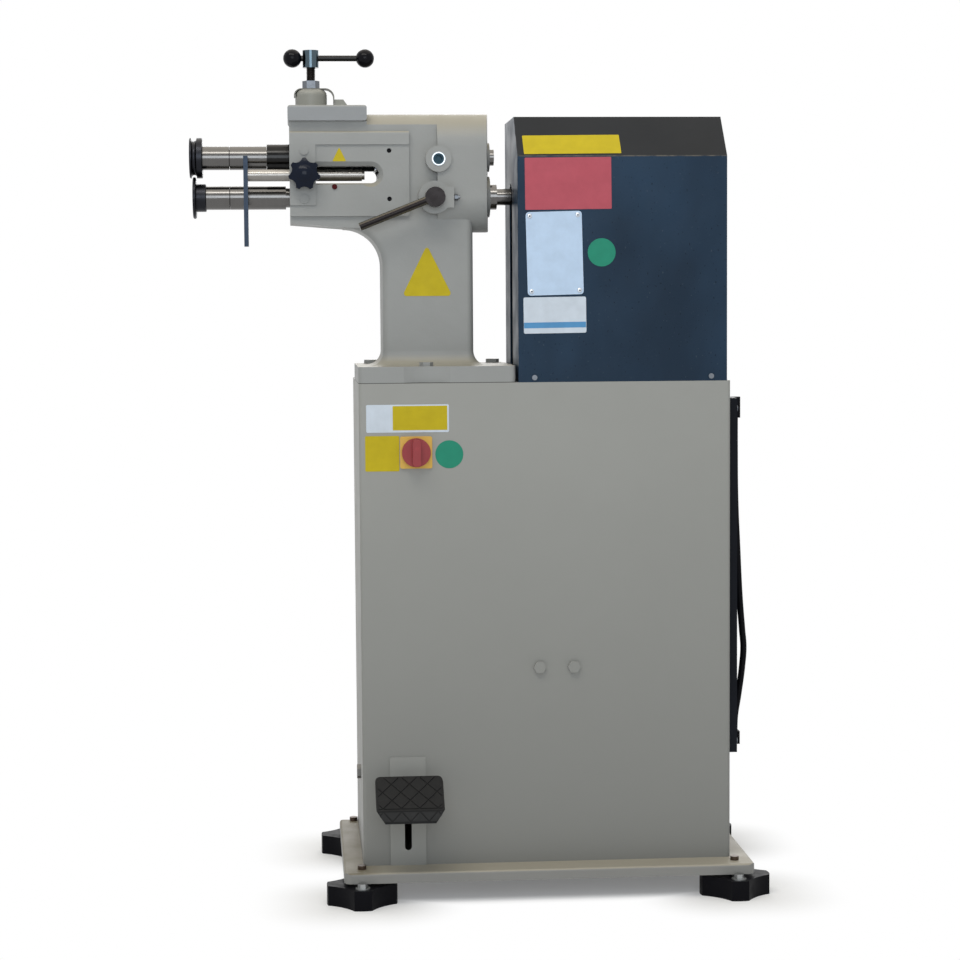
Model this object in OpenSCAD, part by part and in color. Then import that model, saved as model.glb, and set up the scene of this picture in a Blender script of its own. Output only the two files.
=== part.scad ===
// Motorised swaging jenny: a cast head with two geared roll shafts stands on a sheet-metal cabinet.
// X runs along the shafts, from the rolls to the drive. The operator stands at -Y. Z is up from the floor.

/* [Feet and base] */
// Span of a foot pad across opposite lobes
foot_span = 106; // [90:1:116]
// Height of a foot pad
foot_h = 30; // [24:1:40]
// Width of a foot pad's lobe
foot_lobe_w = 26; // [22:1:36]
// Radius of the scoop between two lobes of a foot pad
foot_scoop_r = 80; // [60:1:110]
// Gap between a foot pad and the lip of the base pan
foot_gap = 5; // [3:0.5:8]
// Distance of a front foot's centre from the side of the base pan
foot_inset_x0 = 27; // [23:1:28]
// Distance of a back foot's centre from the side of the base pan
foot_inset_x1 = 23; // [21:1:24]
// Distance of a front foot's centre from the front of the base pan
foot_inset_front = 28; // [18:1:36]
// Distance of a back foot's centre from the back of the base pan
foot_inset_back = 10.5; // [10:0.5:11]
// Thread of the foot bolts
foot_bolt_d = 8; // [6:1:8]
// Width of the base pan
base_w = 620; // [600:1:680]
// Depth of the base pan
base_d = 374; // [360:1:420]
// Depth of the folded lip of the base pan
base_lip = 16; // [14:1:30]
// Radius of the fold round the top of the base pan
base_fold_r = 4; // [3.5:0.5:4]
// Sheet thickness of the base pan
base_sheet = 3; // [2:0.5:3]
// Corner radius of the base pan
base_corner_r = 12; // [6:1:20]
// How far the base pan reaches in front of the cabinet
base_front = 48; // [40:1:56]

/* [Cabinet] */
// Width of the cabinet
cab_w = 560; // [540:1:580]
// Depth of the cabinet
cab_d = 315; // [295:1:320]
// Height of the cabinet
cab_h = 728; // [700:1:760]
// Sheet thickness of the cabinet
cab_sheet = 2; // [1.5:0.5:3]
// Outside radius of the cabinet's folds
cab_fold_r = 5; // [4:1:8]
// Width of the return flange at the back of each side
cab_return = 24; // [18:1:30]
// Thickness of the cabinet's top plate
top_plate_t = 6; // [5:1:10]
// Height of the two front bolts over the base pan
front_bolt_h = 298; // [260:1:340]
// Distance between the two front bolts
front_bolt_pitch = 52; // [40:1:70]

/* [Side panel and lead] */
// Height of the side panel
panel_h = 541; // [500:1:550]
// Width of the side panel
panel_w = 292; // [260:1:296]
// Depth of the side panel's tray
panel_deep = 12; // [9:1:16]
// Height of the panel's lower edge over the base pan
panel_low = 160; // [140:1:170]
// Diameter of the lead between the two glands
lead_d = 10; // [8:0.5:11]

/* [Main switch] */
// Width of the square switch plate
switch_w = 48; // [44:1:54]
// Diameter of the switch knob
switch_knob_d = 43; // [38:1:44]
// Distance of the switch from the cabinet's left side
switch_in = 85; // [70:1:110]
// Height of the switch over the base pan
switch_up = 625; // [590:1:640]

/* [Foot pedal] */
// Width of the pedal's pad
pad_w = 101; // [90:1:106]
// Length of the tread of the pad
pad_len = 66; // [58:1:70]
// Height of the lip at the front of the pad
pad_lip = 20; // [14:1:24]
// Thickness of the pad
pad_t = 10; // [8:0.5:12]
// Slope of the tread
pad_tilt = 38; // [34:1:40]
// Distance of the pedal from the cabinet's left side
pedal_in = 68; // [62:1:80]
// Height of the pedal's pivot over the base pan
pivot_up = 126; // [120:1:132]
// Distance of the pedal's pivot behind the cabinet's front
pivot_back = 95; // [90:1:110]
// Diameter of the pedal's pivot pin
pivot_d = 12; // [10:1:14]
// Thickness of the pedal's arm
arm_t = 8; // [6:1:9]
// Width of the slot that the arm moves in
pedal_slot_w = 10.5; // [10:0.5:13]

/* [Cast head] */
// Height of the lower shaft over the cabinet's top
lower_axis_h = 280.5; // [275:0.5:286]
// Distance of the shafts behind the cabinet's front
axis_y = 112; // [108:1:118]
// How far the head reaches past the cabinet's left side
head_overhang = 98; // [90:1:110]
// Length of the head
head_len = 302; // [298:1:306]
// Half depth of the arm of the head
arm_half = 60; // [58:1:64]
// How far the front pad stands out of the arm
pad_rise = 7; // [5:1:9]
// Half depth of the gear end of the head
rear_half = 72; // [68:1:76]
// Edge radius under the gear end of the head
rear_r = 50; // [44:1:54]
// Edge radius of the top of the head
ridge_r = 50; // [40:1:54]
// Taper of the drive end of the head
rear_draft = 7; // [4:0.5:9]
// Width of the column
column_w = 137; // [128:1:146]
// Depth of the column
column_d = 120; // [100:1:120]
// Radius between column and flange
flare_r = 22; // [16:1:26]
// Depth of the flange
flange_d = 224; // [212:1:224]
// Thickness of the flange
flange_t = 25; // [20:1:32]
// Height of the gauge slot
slot_h = 26; // [24:0.5:26]
// Length of the gauge slot
slot_len = 134; // [128:1:136]

/* [Shafts, gears and rolls] */
// Module of the two gears
gear_module = 3; // [2.95:0.05:3.1]
// Teeth of each gear
gear_teeth = 20; // [20:1:20]
// Face width of the gears
gear_w = 30; // [24:1:32]
// Diameter of the upper shaft
upper_shaft_d = 25; // [22:1:26]
// Diameter of the lower shaft in its bushes
lower_shaft_d = 30; // [28:1:32]
// Diameter of the drive end of the lower shaft
drive_d = 25.5; // [22:0.5:28]
// Diameter of the spacer sleeves
spacer_d = 36; // [34:1:38]
// Diameter of the rocker's front tube
tube_d = 42; // [38:0.5:43]
// Diameter of the upper roll
upper_roll_d = 61; // [58:1:62]
// Diameter of the lower roll's disc
lower_roll_d = 63; // [60:1:64]
// Thickness of the lower roll's disc
disc_t = 5; // [4:0.5:6]
// Distance of the rolls' outer face from the head
roll_reach = 150.6; // [145:0.5:160]

/* [Pressure screw] */
// Thread of the pressure screw
screw_d = 14; // [12:1:14]
// Distance of the pressure screw from the head's left end
screw_in = 34; // [32:1:36]
// Diameter of the handle's hub
hub_d = 24.5; // [22:0.5:28]
// Height of the handle's hub
hub_h = 26; // [22:1:30]
// Diameter of the sliding bar
bar_d = 9; // [8:0.5:10]
// Distance between the centres of the two ball knobs
ball_span = 110; // [100:1:130]
// Diameter of the ball knobs
ball_d = 28; // [25:0.5:30]
// Diameter of the boss on the top cap
boss_d = 48; // [44:1:50]

/* [Gauge and lever] */
// Diameter of the gauge rod
gauge_rod_d = 18; // [16:0.5:18]
// Length of the gauge rod
gauge_rod_len = 175; // [160:1:178]
// Height of the stop bar
stop_h = 135; // [120:1:140]
// Thickness of the stop bar
stop_t = 6.5; // [5:0.5:8]
// Diameter of the star knob
star_d = 48; // [44:1:50]
// Length of the lock lever from its hub's centre
lever_len = 121; // [100:1:124]
// Diameter of the lock lever's rod
lever_d = 12; // [10:0.5:13]

/* [Drive cover] */
// Gap between the head and the cover
cover_gap = 35.5; // [32:0.5:40]
// Depth of the cover
cover_d = 208; // [204:1:224]
// Height of the cover
cover_h = 398; // [390:1:410]
// Depth of the cover's slanted top edge
slant_d = 57; // [45:1:60]
// Height of the cover's slanted top edge
slant_h = 62; // [45:1:66]
// Sheet thickness of the cover
cover_sheet = 1.5; // [1:0.5:2]
// Distance of the cover from the cabinet's right side
cover_inset = 5.5; // [4:0.5:9]
// Width of the shaft slot in the cover's side
cover_slot_w = 40; // [36:1:46]

/* [Hidden] */
$fn = 96;

// Radial clearance of a running fit
run = 0.05;
// Gap between pieces that pass each other
gap = 0.4;
// Overshoot of a cut past a face
over = 1;
// Radial room around a loose bolt or passing shaft
room = 0.5;

// Heights from the floor
base_top = foot_h + foot_gap + base_lip;
cab_top = base_top + cab_h;
flange_top = cab_top + flange_t;
lower_z = cab_top + lower_axis_h;
axis_gap = gear_module * gear_teeth;
upper_z = lower_z + axis_gap;

// Base pan and feet in plan
base_y0 = -base_front;
base_y1 = base_y0 + base_d;
foot_x0 = base_w / 2 - foot_inset_x0;
foot_x1 = base_w / 2 - foot_inset_x1;
foot_y0 = base_y0 + foot_inset_front;
foot_y1 = base_y1 - foot_inset_back;
foot_at = [[-foot_x0, foot_y0], [foot_x0, foot_y0], [-foot_x1, foot_y1], [foot_x1, foot_y1]];
foot_r = foot_span / 2;
foot_corner = sqrt(foot_r * foot_r - foot_lobe_w * foot_lobe_w / 4) + foot_lobe_w / 2;
foot_reach = foot_r * foot_r - foot_scoop_r * foot_scoop_r;
foot_scoop_at = (foot_corner + sqrt(foot_corner * foot_corner - 2 * foot_reach)) / 2;
foot_recess = 6;
foot_recess_d = 34;
foot_nut_w = 24;
foot_nut_h = 7;
lock_nut_w = 13;
bolt_head_d = 13;
bolt_head_h = 6;

// Flange bolt in the outer lobe of each foot pad
lobe_bolt_in = 37;
lobe_flange_d = 22;
lobe_flange_t = 2;
lobe_head_w = 13;
lobe_head_h = 6;
function lobe_y(p) = p[1] + (p[1] < cab_d / 2 ? -1 : 1) * lobe_bolt_in;

// Cabinet in plan
cab_x0 = -cab_w / 2;
cab_x1 = cab_w / 2;
cab_in = cab_sheet + 0.2;

// Origin at the middle of the part's box on the floor
pedal_x = cab_x0 + pedal_in;
pedal_pivot_z = base_top + pivot_up;
pad_back_y = -36;
pad_back_z = pedal_pivot_z + 17;
pad_front_y = pad_back_y - pad_len * cos(pad_tilt);
pad_front_z = pad_back_z - pad_len * sin(pad_tilt);
roll_left = cab_x0 - head_overhang - roll_reach;
box_x0 = roll_left;
box_x1 = foot_x1 + foot_span / 2;
box_y0 = min(pad_front_y, foot_y0 - foot_span / 2);
box_y1 = foot_y1 + foot_span / 2;
origin = [(box_x0 + box_x1) / 2, (box_y0 + box_y1) / 2, 0];

// Head in plan and height
head_left = cab_x0 - head_overhang;
head_right = head_left + head_len;
column_in = 137.5;
column_x0 = head_left + column_in;
column_x1 = column_x0 + column_w;
column_r = 10;
flange_x0 = cab_x0;
flange_gap = 4;
flange_y0 = 0;
arm_front = axis_y - arm_half;
arm_back = axis_y + arm_half;
pad_front = arm_front - pad_rise;
rear_front = axis_y - rear_half;
rear_back = axis_y + rear_half;
rear_in = 221;
rear_left = head_left + rear_in;
head_up = 63.5;
head_top = upper_z + head_up;
side_step = rear_half - arm_half;
ridge_z = head_top - ridge_r + sqrt(ridge_r * ridge_r - (ridge_r - side_step) * (ridge_r - side_step));
rear_bottom = lower_z - 53.5;
arm_tip_bottom = lower_z - 40.5;
arm_root_bottom = lower_z - 48;
arm_root_x = head_left + 95;
throat_r = 57;
pad_reach = 179;
pad_x1 = head_left + pad_reach;
pad_edge_r = 4;
pad_z0 = lower_z - 30.5;
pad_z1 = upper_z + 36;
pocket_deep = 2.5;
pocket_z1 = upper_z + 16;
cap_seat = upper_z + 51.5;
cap_x0 = head_left - 2;
cap_x1 = cap_x0 + 118;
gauge_up = 31.8;
gauge_z = lower_z + gauge_up;
slot_bevel = 6;
oil_d = 8;
oil_x = head_left + 67;
oil_z = gauge_z - slot_h / 2 - 5.5;

// Rocker, its trunnions and its room in the head
pivot_in = 222.5;
pivot_drop = 6;
pivot_x = head_left + pivot_in;
pivot_z = upper_z - pivot_drop;
trunnion_d = 20;
trunnion_tip_d = 14;
rocker_half = 47;
cheek_t = 8;
rocker_front = head_left - 34;
cross_in = 128;
cross_x0 = head_left + cross_in;
cross_x1 = cross_x0 + 18;
block_half = 16.5;
block_x0 = pivot_x - block_half;
block_x1 = pivot_x + block_half;
rocker_up = 20;
chamber_side = rocker_half + 2.5;
channel_half = 24;
screw_x = head_left + screw_in;
lug_half = 17;
lug_top = upper_z + 36;
foot_disc_d = 24;
foot_disc_z = upper_z + 22;
foot_disc_t = 6;
foot_play = 0.9;
foot_neck_d = 14;
spigot_d = 8;
upper_bush_wall = 3.5;
lower_bush_wall = 2.5;
lower_room = 2;
bush_len = 30;

// Gears
gear_x0 = head_left + 156;
gear_x1 = gear_x0 + gear_w;
pitch_r = axis_gap / 2;
tip_r = pitch_r + gear_module;
root_r = pitch_r - 1.3 * gear_module;
tooth_step = 360 / gear_teeth;
gear_room = 3;

// Rolls along the shafts
roll_bore_d = 20;
upper_roll_w = 19.6;
roll_rim = 2.8;
groove_w = disc_t + 3;
groove_r = axis_gap - lower_roll_d / 2 - 3;
disc_x0 = roll_left + roll_rim + (groove_w - disc_t) / 2;
lower_hub_d = 42;
lower_hub_w = 15;
lower_spacer_x0 = disc_x0 + disc_t + lower_hub_w;
lower_spacer_x1 = head_left - 6;
upper_spacer_x0 = roll_left + upper_roll_w;
upper_spacer_x1 = rocker_front - gap;
spacer_joint = roll_left + 60;
roll_screw_d = 24;
roll_screw_h = 5;
collar_d = 39;
collar_w = 10.5;

// Pressure screw and cap above the upper shaft
cap_t = 23;
cap_top = cap_seat + cap_t;
cap_y0 = pad_front - 2;
cap_y1 = arm_back + 2;
boss_h = 28;
boss_top = cap_top + boss_h;
boss_edge_r = 9;
hump_h = 13;
hump_in = 35.5;
hump_w = 13;
hump_run = 10;
strap_t = 1.6;
strap_w = 22;
bush_d = 20;
nut_w = 22.5;
nut_h = 11.5;
nut_z0 = boss_top + strap_t;
hub_z0 = nut_z0 + nut_h + 20;
bar_z = hub_z0 + hub_h * 0.55;
ball_left_x = screw_x - hub_d / 2 - ball_d / 2 - 1.4;
ball_right_x = ball_left_x + ball_span;
ball_hole = 10;

// Gauge
gauge_y = axis_y - 41;
plate_w = 39;
plate_t = pad_rise;
plate_mid = head_left + 22;
plate_z0 = lower_z - 14;
plate_z1 = upper_z + 16;
plate_screw_z0 = lower_z - 5;
plate_screw_z1 = upper_z + 7;
plate_screw_d = 13;
screw_proud = 1.5;
gauge_x1 = head_left + 112.5;
gauge_x0 = gauge_x1 - gauge_rod_len;
gauge_tip = 4;
stop_deep = 26;
stud_d = 10;
star_y0 = pad_front - 22;
star_t = 15;
star_lobes = 7;
star_crown_r = 60;
star_dome_d = 27;
star_dome_r = 22;
star_proud = 3;

// Lock lever and its clamp boss
lever_in = 216;
lever_x = head_left + lever_in;
lever_z = lower_z - 3.5;
lever_hub_d = 30;
lever_y = rear_front - 21;
lever_drop = 21.4;
lever_boss_d = 49;
lever_boss_y = rear_front - 10;
lock_screw_y = rear_front - 5;
lever_pin_d = 18;
plug_boss_d = 39;
plug_boss_y = rear_front - 4;
tab_x = lever_x + 29;
tab_half = 15.5;

// Cover and drive
cover_x1 = cab_x1 - cover_inset;
cover_x0 = head_right + cover_gap;
cover_top = cab_top + cover_h;
flange_x1 = cover_x0 - flange_gap;
shaft_end = cover_x0 + 42;
coupling_d = 46;
coupling_x0 = shaft_end - 28;
coupling_x1 = shaft_end + 32;
case_x0 = coupling_x1 + 6;
case_half = 55;
case_low = 70;
case_high = 52;
motor_d = 124;
motor_len = 92;
cowl_d = 128;
cowl_len = 26;
cowl_room = 17;
cowl_x1 = cover_x1 - cowl_room;
motor_x1 = cowl_x1 - cowl_len;
case_x1 = motor_x1 - motor_len;
stand_t = 6;

// Pedal
guard_w = 54;
guard_h = 165;
guard_t = 2;
pedal_slot_z0 = base_top + 23;
pedal_slot_z1 = pedal_pivot_z + 18;
arm_h = 15;
arm_tail = 30;
bracket_x0 = pedal_x + 16;
bracket_t = 6;
nut_side_w = 19;
nut_side_h = 6;
opening_w = 30;

// Switch
switch_x = cab_x0 + switch_in;
switch_z = base_top + switch_up;
switch_plate_t = 3;
switch_stem_d = 12;
switch_half = 20;
switch_deep = 54;

// Side panel, clips and the lead's route: the distance out from its clips and the height over the panel's edge
panel_z0 = base_top + panel_low;
panel_y = 154;
clip_half = 8;
clip_wall = 2;
clip_play = 0.6;
lead_y = 60;
lead_x = cab_x1 + panel_deep + lead_d / 2 + clip_play;
lead_route = [[0, 530], [0, 460], [1, 380], [4, 310], [8, 230], [12, 180], [14, 155], [12, 125],
    [6, 80], [1, 48], [0, 28], [0, 15]];
lead_steps = 3;
lead_sides = 10;

// Shapes that repeat

// Moves a piece from the cabinet's frame to the part's origin
module placed() {
    translate(-origin) children();
}

// Box between two corners
module block(x0, x1, y0, y1, z0, z1) {
    translate([x0, y0, z0]) cube([x1 - x0, y1 - y0, z1 - z0]);
}

// Round bar along X, Y or Z
module bar_x(d, x0, x1, y, z) {
    translate([x0, y, z]) rotate([0, 90, 0]) cylinder(d = d, h = x1 - x0);
}
module bar_y(d, y0, y1, x, z) {
    translate([x, y0, z]) rotate([-90, 0, 0]) cylinder(d = d, h = y1 - y0);
}
module bar_z(d, z0, z1, x, y) {
    translate([x, y, z0]) cylinder(d = d, h = z1 - z0);
}

// Hexagon prism along Z, or along Y, by its width across flats
module hex_z(w, z0, z1, x, y) {
    translate([x, y, z0]) cylinder(d = w / cos(30), h = z1 - z0, $fn = 6);
}
module hex_y(w, y0, y1, x, z) {
    translate([x, y0, z]) rotate([-90, 0, 0]) cylinder(d = w / cos(30), h = y1 - y0, $fn = 6);
}
module hex_x(w, x0, x1, y, z) {
    translate([x0, y, z]) rotate([0, 90, 0]) cylinder(d = w / cos(30), h = x1 - x0, $fn = 6);
}

// Flat outline in Y and Z pulled along X, and in X and Z pulled along Y
module along_x(x0, x1) {
    translate([x0, 0, 0]) rotate([90, 0, 90]) linear_extrude(x1 - x0) children();
}
module along_y(y0, y1) {
    translate([0, y1, 0]) rotate([90, 0, 0]) linear_extrude(y1 - y0) children();
}

// Rectangle with round corners between two points
module round_rect(a0, a1, b0, b1, r) {
    translate([a0 + r, b0]) square([a1 - a0 - 2 * r, b1 - b0]);
    translate([a0, b0 + r]) square([a1 - a0, b1 - b0 - 2 * r]);
    for (a = [a0 + r, a1 - r], b = [b0 + r, b1 - r]) translate([a, b]) circle(r);
}

// Ring along X
module ring_x(d, bore, x0, x1, y, z) {
    difference() {
        bar_x(d, x0, x1, y, z);
        bar_x(bore, x0 - over, x1 + over, y, z);
    }
}

// Spur gear along X, with a tooth or a gap upward
module spur_gear(x0, x1, z, bore, turn) {
    half = [5.4, 3.7, 1.6];
    radii = [root_r, pitch_r, tip_r];
    order = [[0, -1], [1, -1], [2, -1], [2, 1], [1, 1], [0, 1]];
    outline = [for (i = [0 : gear_teeth - 1], k = order)
        let (a = i * tooth_step + turn + k[1] * half[k[0]])
        radii[k[0]] * [sin(a), cos(a)]];
    difference() {
        translate([0, axis_y, z]) along_x(x0, x1) polygon(outline);
        bar_x(bore, x0 - over, x1 + over, axis_y, z);
    }
}

// Round tube swept along points, in a ring of sides at each point
function unit(v) = v / norm(v);
function tangent(p, i) = unit(p[min(i + 1, len(p) - 1)] - p[max(i - 1, 0)]);
function ring_at(p, i, r, n) =
    let (t = tangent(p, i), s = unit(cross([0, 1, 0], t)), u = cross(t, s))
    [for (k = [0 : n - 1]) p[i] + r * (cos(360 * k / n) * s + sin(360 * k / n) * u)];
module tube_along(p, d, n) {
    last = len(p) - 1;
    points = [for (i = [0 : last]) each ring_at(p, i, d / 2, n)];
    sides = [for (i = [0 : last - 1], k = [0 : n - 1], half = [0, 1])
        let (a = i * n + k, b = i * n + (k + 1) % n)
        half == 0 ? [a, b, b + n] : [a, b + n, a + n]];
    start = [for (k = [1 : n - 2]) [0, k + 1, k]];
    end = [for (k = [1 : n - 2]) [last * n, last * n + k, last * n + k + 1]];
    polyhedron(points, concat(sides, start, end));
}

// Feet and base

module foot_pads() placed() color("#1c1c1e") for (p = foot_at) difference() {
    translate([p[0], p[1], 0]) linear_extrude(foot_h) difference() {
        circle(d = foot_span);
        for (a = [0 : 90 : 270]) rotate(a) translate([foot_scoop_at, foot_scoop_at]) circle(foot_scoop_r);
    }
    bar_z(foot_recess_d, foot_h - foot_recess, foot_h + over, p[0], p[1]);
    bar_z(foot_bolt_d + 2 * run, -over, foot_h + over, p[0], p[1]);
    bar_z(foot_bolt_d + 2 * run, -over, foot_h + over, p[0], lobe_y(p));
}

module foot_bolts() placed() color("#8a7a66") for (p = foot_at) {
    seat = foot_h - foot_recess;
    under = base_top - base_sheet;
    bar_z(foot_bolt_d, foot_gap, base_top, p[0], p[1]);
    bar_z(bolt_head_d, base_top, base_top + bolt_head_h, p[0], p[1]);
    difference() {
        hex_z(foot_nut_w, seat, seat + foot_nut_h, p[0], p[1]);
        bar_z(foot_bolt_d + 2 * run, seat - over, under + over, p[0], p[1]);
    }
    difference() {
        hex_z(lock_nut_w, seat + foot_nut_h, under, p[0], p[1]);
        bar_z(foot_bolt_d + 2 * run, seat - over, under + over, p[0], p[1]);
    }
    bar_z(foot_bolt_d, foot_gap, foot_h, p[0], lobe_y(p));
    bar_z(lobe_flange_d, foot_h, foot_h + lobe_flange_t, p[0], lobe_y(p));
    hex_z(lobe_head_w, foot_h + lobe_flange_t, foot_h + lobe_flange_t + lobe_head_h, p[0], lobe_y(p));
}

// Upright outline with two round top corners
module fold_outline(a0, a1, z0, z1, r) {
    translate([a0, z0]) square([a1 - a0, z1 - r - z0]);
    translate([a0 + r, z0]) square([a1 - a0 - 2 * r, z1 - z0]);
    for (a = [a0 + r, a1 - r]) translate([a, z1 - r]) circle(r);
}

// Outside of the base pan, or its hollow at the sheet's thickness inside it
module pan_form(t) {
    x = base_w / 2 - t;
    y0 = base_y0 + t;
    y1 = base_y1 - t;
    z0 = base_top - base_lip - (t > 0 ? over : 0);
    z1 = base_top - t;
    intersection() {
        translate([0, 0, z0]) linear_extrude(z1 - z0) round_rect(-x, x, y0, y1, base_corner_r - t);
        along_x(-x, x) fold_outline(y0, y1, z0, z1, base_fold_r - t);
        along_y(y0, y1) fold_outline(-x, x, z0, z1, base_fold_r - t);
    }
}

module base_pan() placed() color("#9a9a92") difference() {
    pan_form(0);
    pan_form(base_sheet);
    for (p = foot_at) bar_z(foot_bolt_d + 2 * run, base_top - base_lip, base_top + over, p[0], p[1]);
}

// Cabinet

module cabinet_shell() placed() color("#a3a39b") difference() {
    translate([0, 0, base_top]) linear_extrude(cab_h) difference() {
        intersection() {
            round_rect(cab_x0, cab_x1, 0, cab_d + 2 * cab_fold_r, cab_fold_r);
            translate([cab_x0, 0]) square([cab_w, cab_d - cab_sheet]);
        }
        round_rect(cab_x0 + cab_sheet, cab_x1 - cab_sheet, cab_sheet, cab_d - 2 * cab_sheet,
            cab_fold_r - cab_sheet);
        translate([cab_x0 + cab_return, cab_d / 2]) square([cab_w - 2 * cab_return, cab_d]);
    }
    block(pedal_x - opening_w / 2, pedal_x + opening_w / 2, -over, cab_sheet + over,
        pedal_slot_z0, pedal_slot_z1);
    bar_y(switch_stem_d + 2 * room, -over, cab_sheet + over, switch_x, switch_z);
    bar_x(pivot_d + 2 * run, cab_x0 - over, cab_x0 + cab_sheet + over, pivot_back, pedal_pivot_z);
    for (s = [-1, 1]) bar_y(8 + 2 * run, -over, cab_sheet + over, front_bolt_x(s), front_bolt_z);
    bar_x(inlet_d + 2 * run, cab_x1 - cab_sheet - over, cab_x1 + over, inlet_y, inlet_z);
}

front_bolt_z = base_top + front_bolt_h;
front_bolt_mid = 15;
box_w = 180;
box_d = 88;
box_down = 70;
box_up = 190;
function front_bolt_x(s) = front_bolt_mid + s * front_bolt_pitch / 2;
inlet_d = 10;
inlet_y = lead_y;
inlet_z = base_top + 27;

module cabinet_top() placed() color("#a3a39b") difference() {
    translate([0, 0, cab_top - top_plate_t]) linear_extrude(top_plate_t)
        round_rect(cab_x0 + cab_in, cab_x1 - cab_in, cab_in, cab_d - 2 * cab_in, cab_fold_r - cab_sheet);
    for (p = flange_bolt_at) bar_z(12 + 2 * run, cab_top - top_plate_t - over, cab_top + over, p[0], p[1]);
}

module back_panel() placed() color("#a3a39b")
    block(cab_x0, cab_x1, cab_d - cab_sheet, cab_d, base_top, cab_top);

// Screws of the back panel, the side panel and the cover
module panel_screws() placed() color("#6f7073") {
    for (x = [cab_x0 + 12, cab_x1 - 12], f = [0.08, 0.5, 0.92])
        bar_y(10, cab_d, cab_d + 3, x, base_top + f * cab_h);
    for (s = [-1, 1], f = [0.03, 0.97])
        bar_x(9, cab_x1 + panel_deep, cab_x1 + panel_deep + 2, panel_y + s * (panel_w / 2 - 10),
            panel_z0 + f * panel_h);
    for (x = [cover_x0 + 24, cover_x1 - 24]) bar_y(8, -2, 0, x, cab_top + 7);
}

module side_panel() placed() color("#2a3242") difference() {
    block(cab_x1, cab_x1 + panel_deep, panel_y - panel_w / 2, panel_y + panel_w / 2,
        panel_z0, panel_z0 + panel_h);
    block(cab_x1 - over, cab_x1 + panel_deep - cab_sheet, panel_y - panel_w / 2 + cab_sheet,
        panel_y + panel_w / 2 - cab_sheet, panel_z0 + cab_sheet, panel_z0 + panel_h - cab_sheet);
}

// Points of the lead, with smooth steps between the points of its route
function on_curve(a, b, c, d, t) =
    b + t * (c - a) / 2 + t * t * (a - 2.5 * b + 2 * c - d / 2)
    + t * t * t * (1.5 * b - 1.5 * c + (d - a) / 2);
lead_last = len(lead_route) - 1;
lead_curve = [for (i = [0 : lead_last - 1], k = [0 : lead_steps - 1])
    on_curve(lead_route[max(i - 1, 0)], lead_route[i], lead_route[i + 1],
        lead_route[min(i + 2, lead_last)], k / lead_steps)];
lead_path = [for (p = concat(lead_curve, [lead_route[lead_last]]))
    [lead_x + p[0], lead_y, panel_z0 + p[1]]];
lead_top = lead_path[0][2];
lead_low = lead_path[len(lead_path) - 1][2];

// Each clip is a block on the panel that an end of the lead runs into
module lead_glands() placed() color("#161719") difference() {
    x0 = cab_x1 + panel_deep;
    x1 = lead_x + lead_d / 2 + clip_wall;
    union() {
        block(x0, x1, lead_y - clip_half, lead_y + clip_half, lead_top - 21, lead_top + 11);
        block(x0, x1, lead_y - clip_half, lead_y + clip_half, lead_low - 11, lead_low + 9);
    }
    bar_z(lead_d + 2 * clip_play, lead_low - gap, lead_top + gap, lead_x, lead_y);
}

module side_lead() placed() color("#161719") tube_along(lead_path, lead_d, lead_sides);

module cable_inlet() placed() color("#161719") {
    bar_x(inlet_d, cab_x1 - cab_sheet, cab_x1, inlet_y, inlet_z);
    bar_x(1.5 * inlet_d, cab_x1, cab_x1 + 5, inlet_y, inlet_z);
}

module front_bolts() placed() color("#a3a39b") for (s = [-1, 1]) {
    hex_y(17, -5.5, 0, front_bolt_x(s), front_bolt_z);
    bar_y(8, 0, 24, front_bolt_x(s), front_bolt_z);
}

// Closed box of the electrical gear behind the front bolts
module control_box() placed() color("#d5d5d0") difference() {
    block(front_bolt_mid - box_w / 2, front_bolt_mid + box_w / 2, cab_sheet, cab_sheet + box_d,
        front_bolt_z - box_down, front_bolt_z + box_up);
    for (s = [-1, 1]) bar_y(8 + 2 * run, 0, 26, front_bolt_x(s), front_bolt_z);
}

// Main switch

module switch_plate() placed() color("#d9b531") difference() {
    half = switch_w / 2;
    along_y(-switch_plate_t, 0)
        round_rect(switch_x - half, switch_x + half, switch_z - half, switch_z + half, 3);
    bar_y(switch_stem_d + 2 * room, -switch_plate_t - over, over, switch_x, switch_z);
}

module switch_knob() placed() color("#b3202a") {
    y0 = -switch_plate_t - gap;
    bar_y(switch_knob_d, y0 - 7, y0, switch_x, switch_z);
    along_y(y0 - 20, y0 - 7)
        round_rect(switch_x - 6, switch_x + 6, switch_z - switch_knob_d / 2 + 1.5,
            switch_z + switch_knob_d / 2 - 1.5, 5);
    bar_y(switch_stem_d, y0, cab_sheet + 10, switch_x, switch_z);
}

module switch_body() placed() color("#2b2b2d") difference() {
    block(switch_x - switch_half, switch_x + switch_half, cab_sheet, cab_sheet + switch_deep,
        switch_z - switch_half, switch_z + switch_half);
    bar_y(switch_stem_d + 2 * run, 0, cab_sheet + 10.5, switch_x, switch_z);
}

// Foot pedal

module pedal_guard() placed() color("#a3a39b") difference() {
    block(pedal_x - guard_w / 2, pedal_x + guard_w / 2, -guard_t, 0, base_top, base_top + guard_h);
    along_y(-guard_t - over, over)
        round_rect(pedal_x - pedal_slot_w / 2, pedal_x + pedal_slot_w / 2, pedal_slot_z0,
            pedal_slot_z1 - 8, pedal_slot_w / 2 - 0.01);
}

// Frame of the pad: its back top edge, with the pad running forward and down
module on_pad() {
    translate([pedal_x, pad_back_y, pad_back_z]) rotate([pad_tilt, 0, 0]) children();
}

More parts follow.
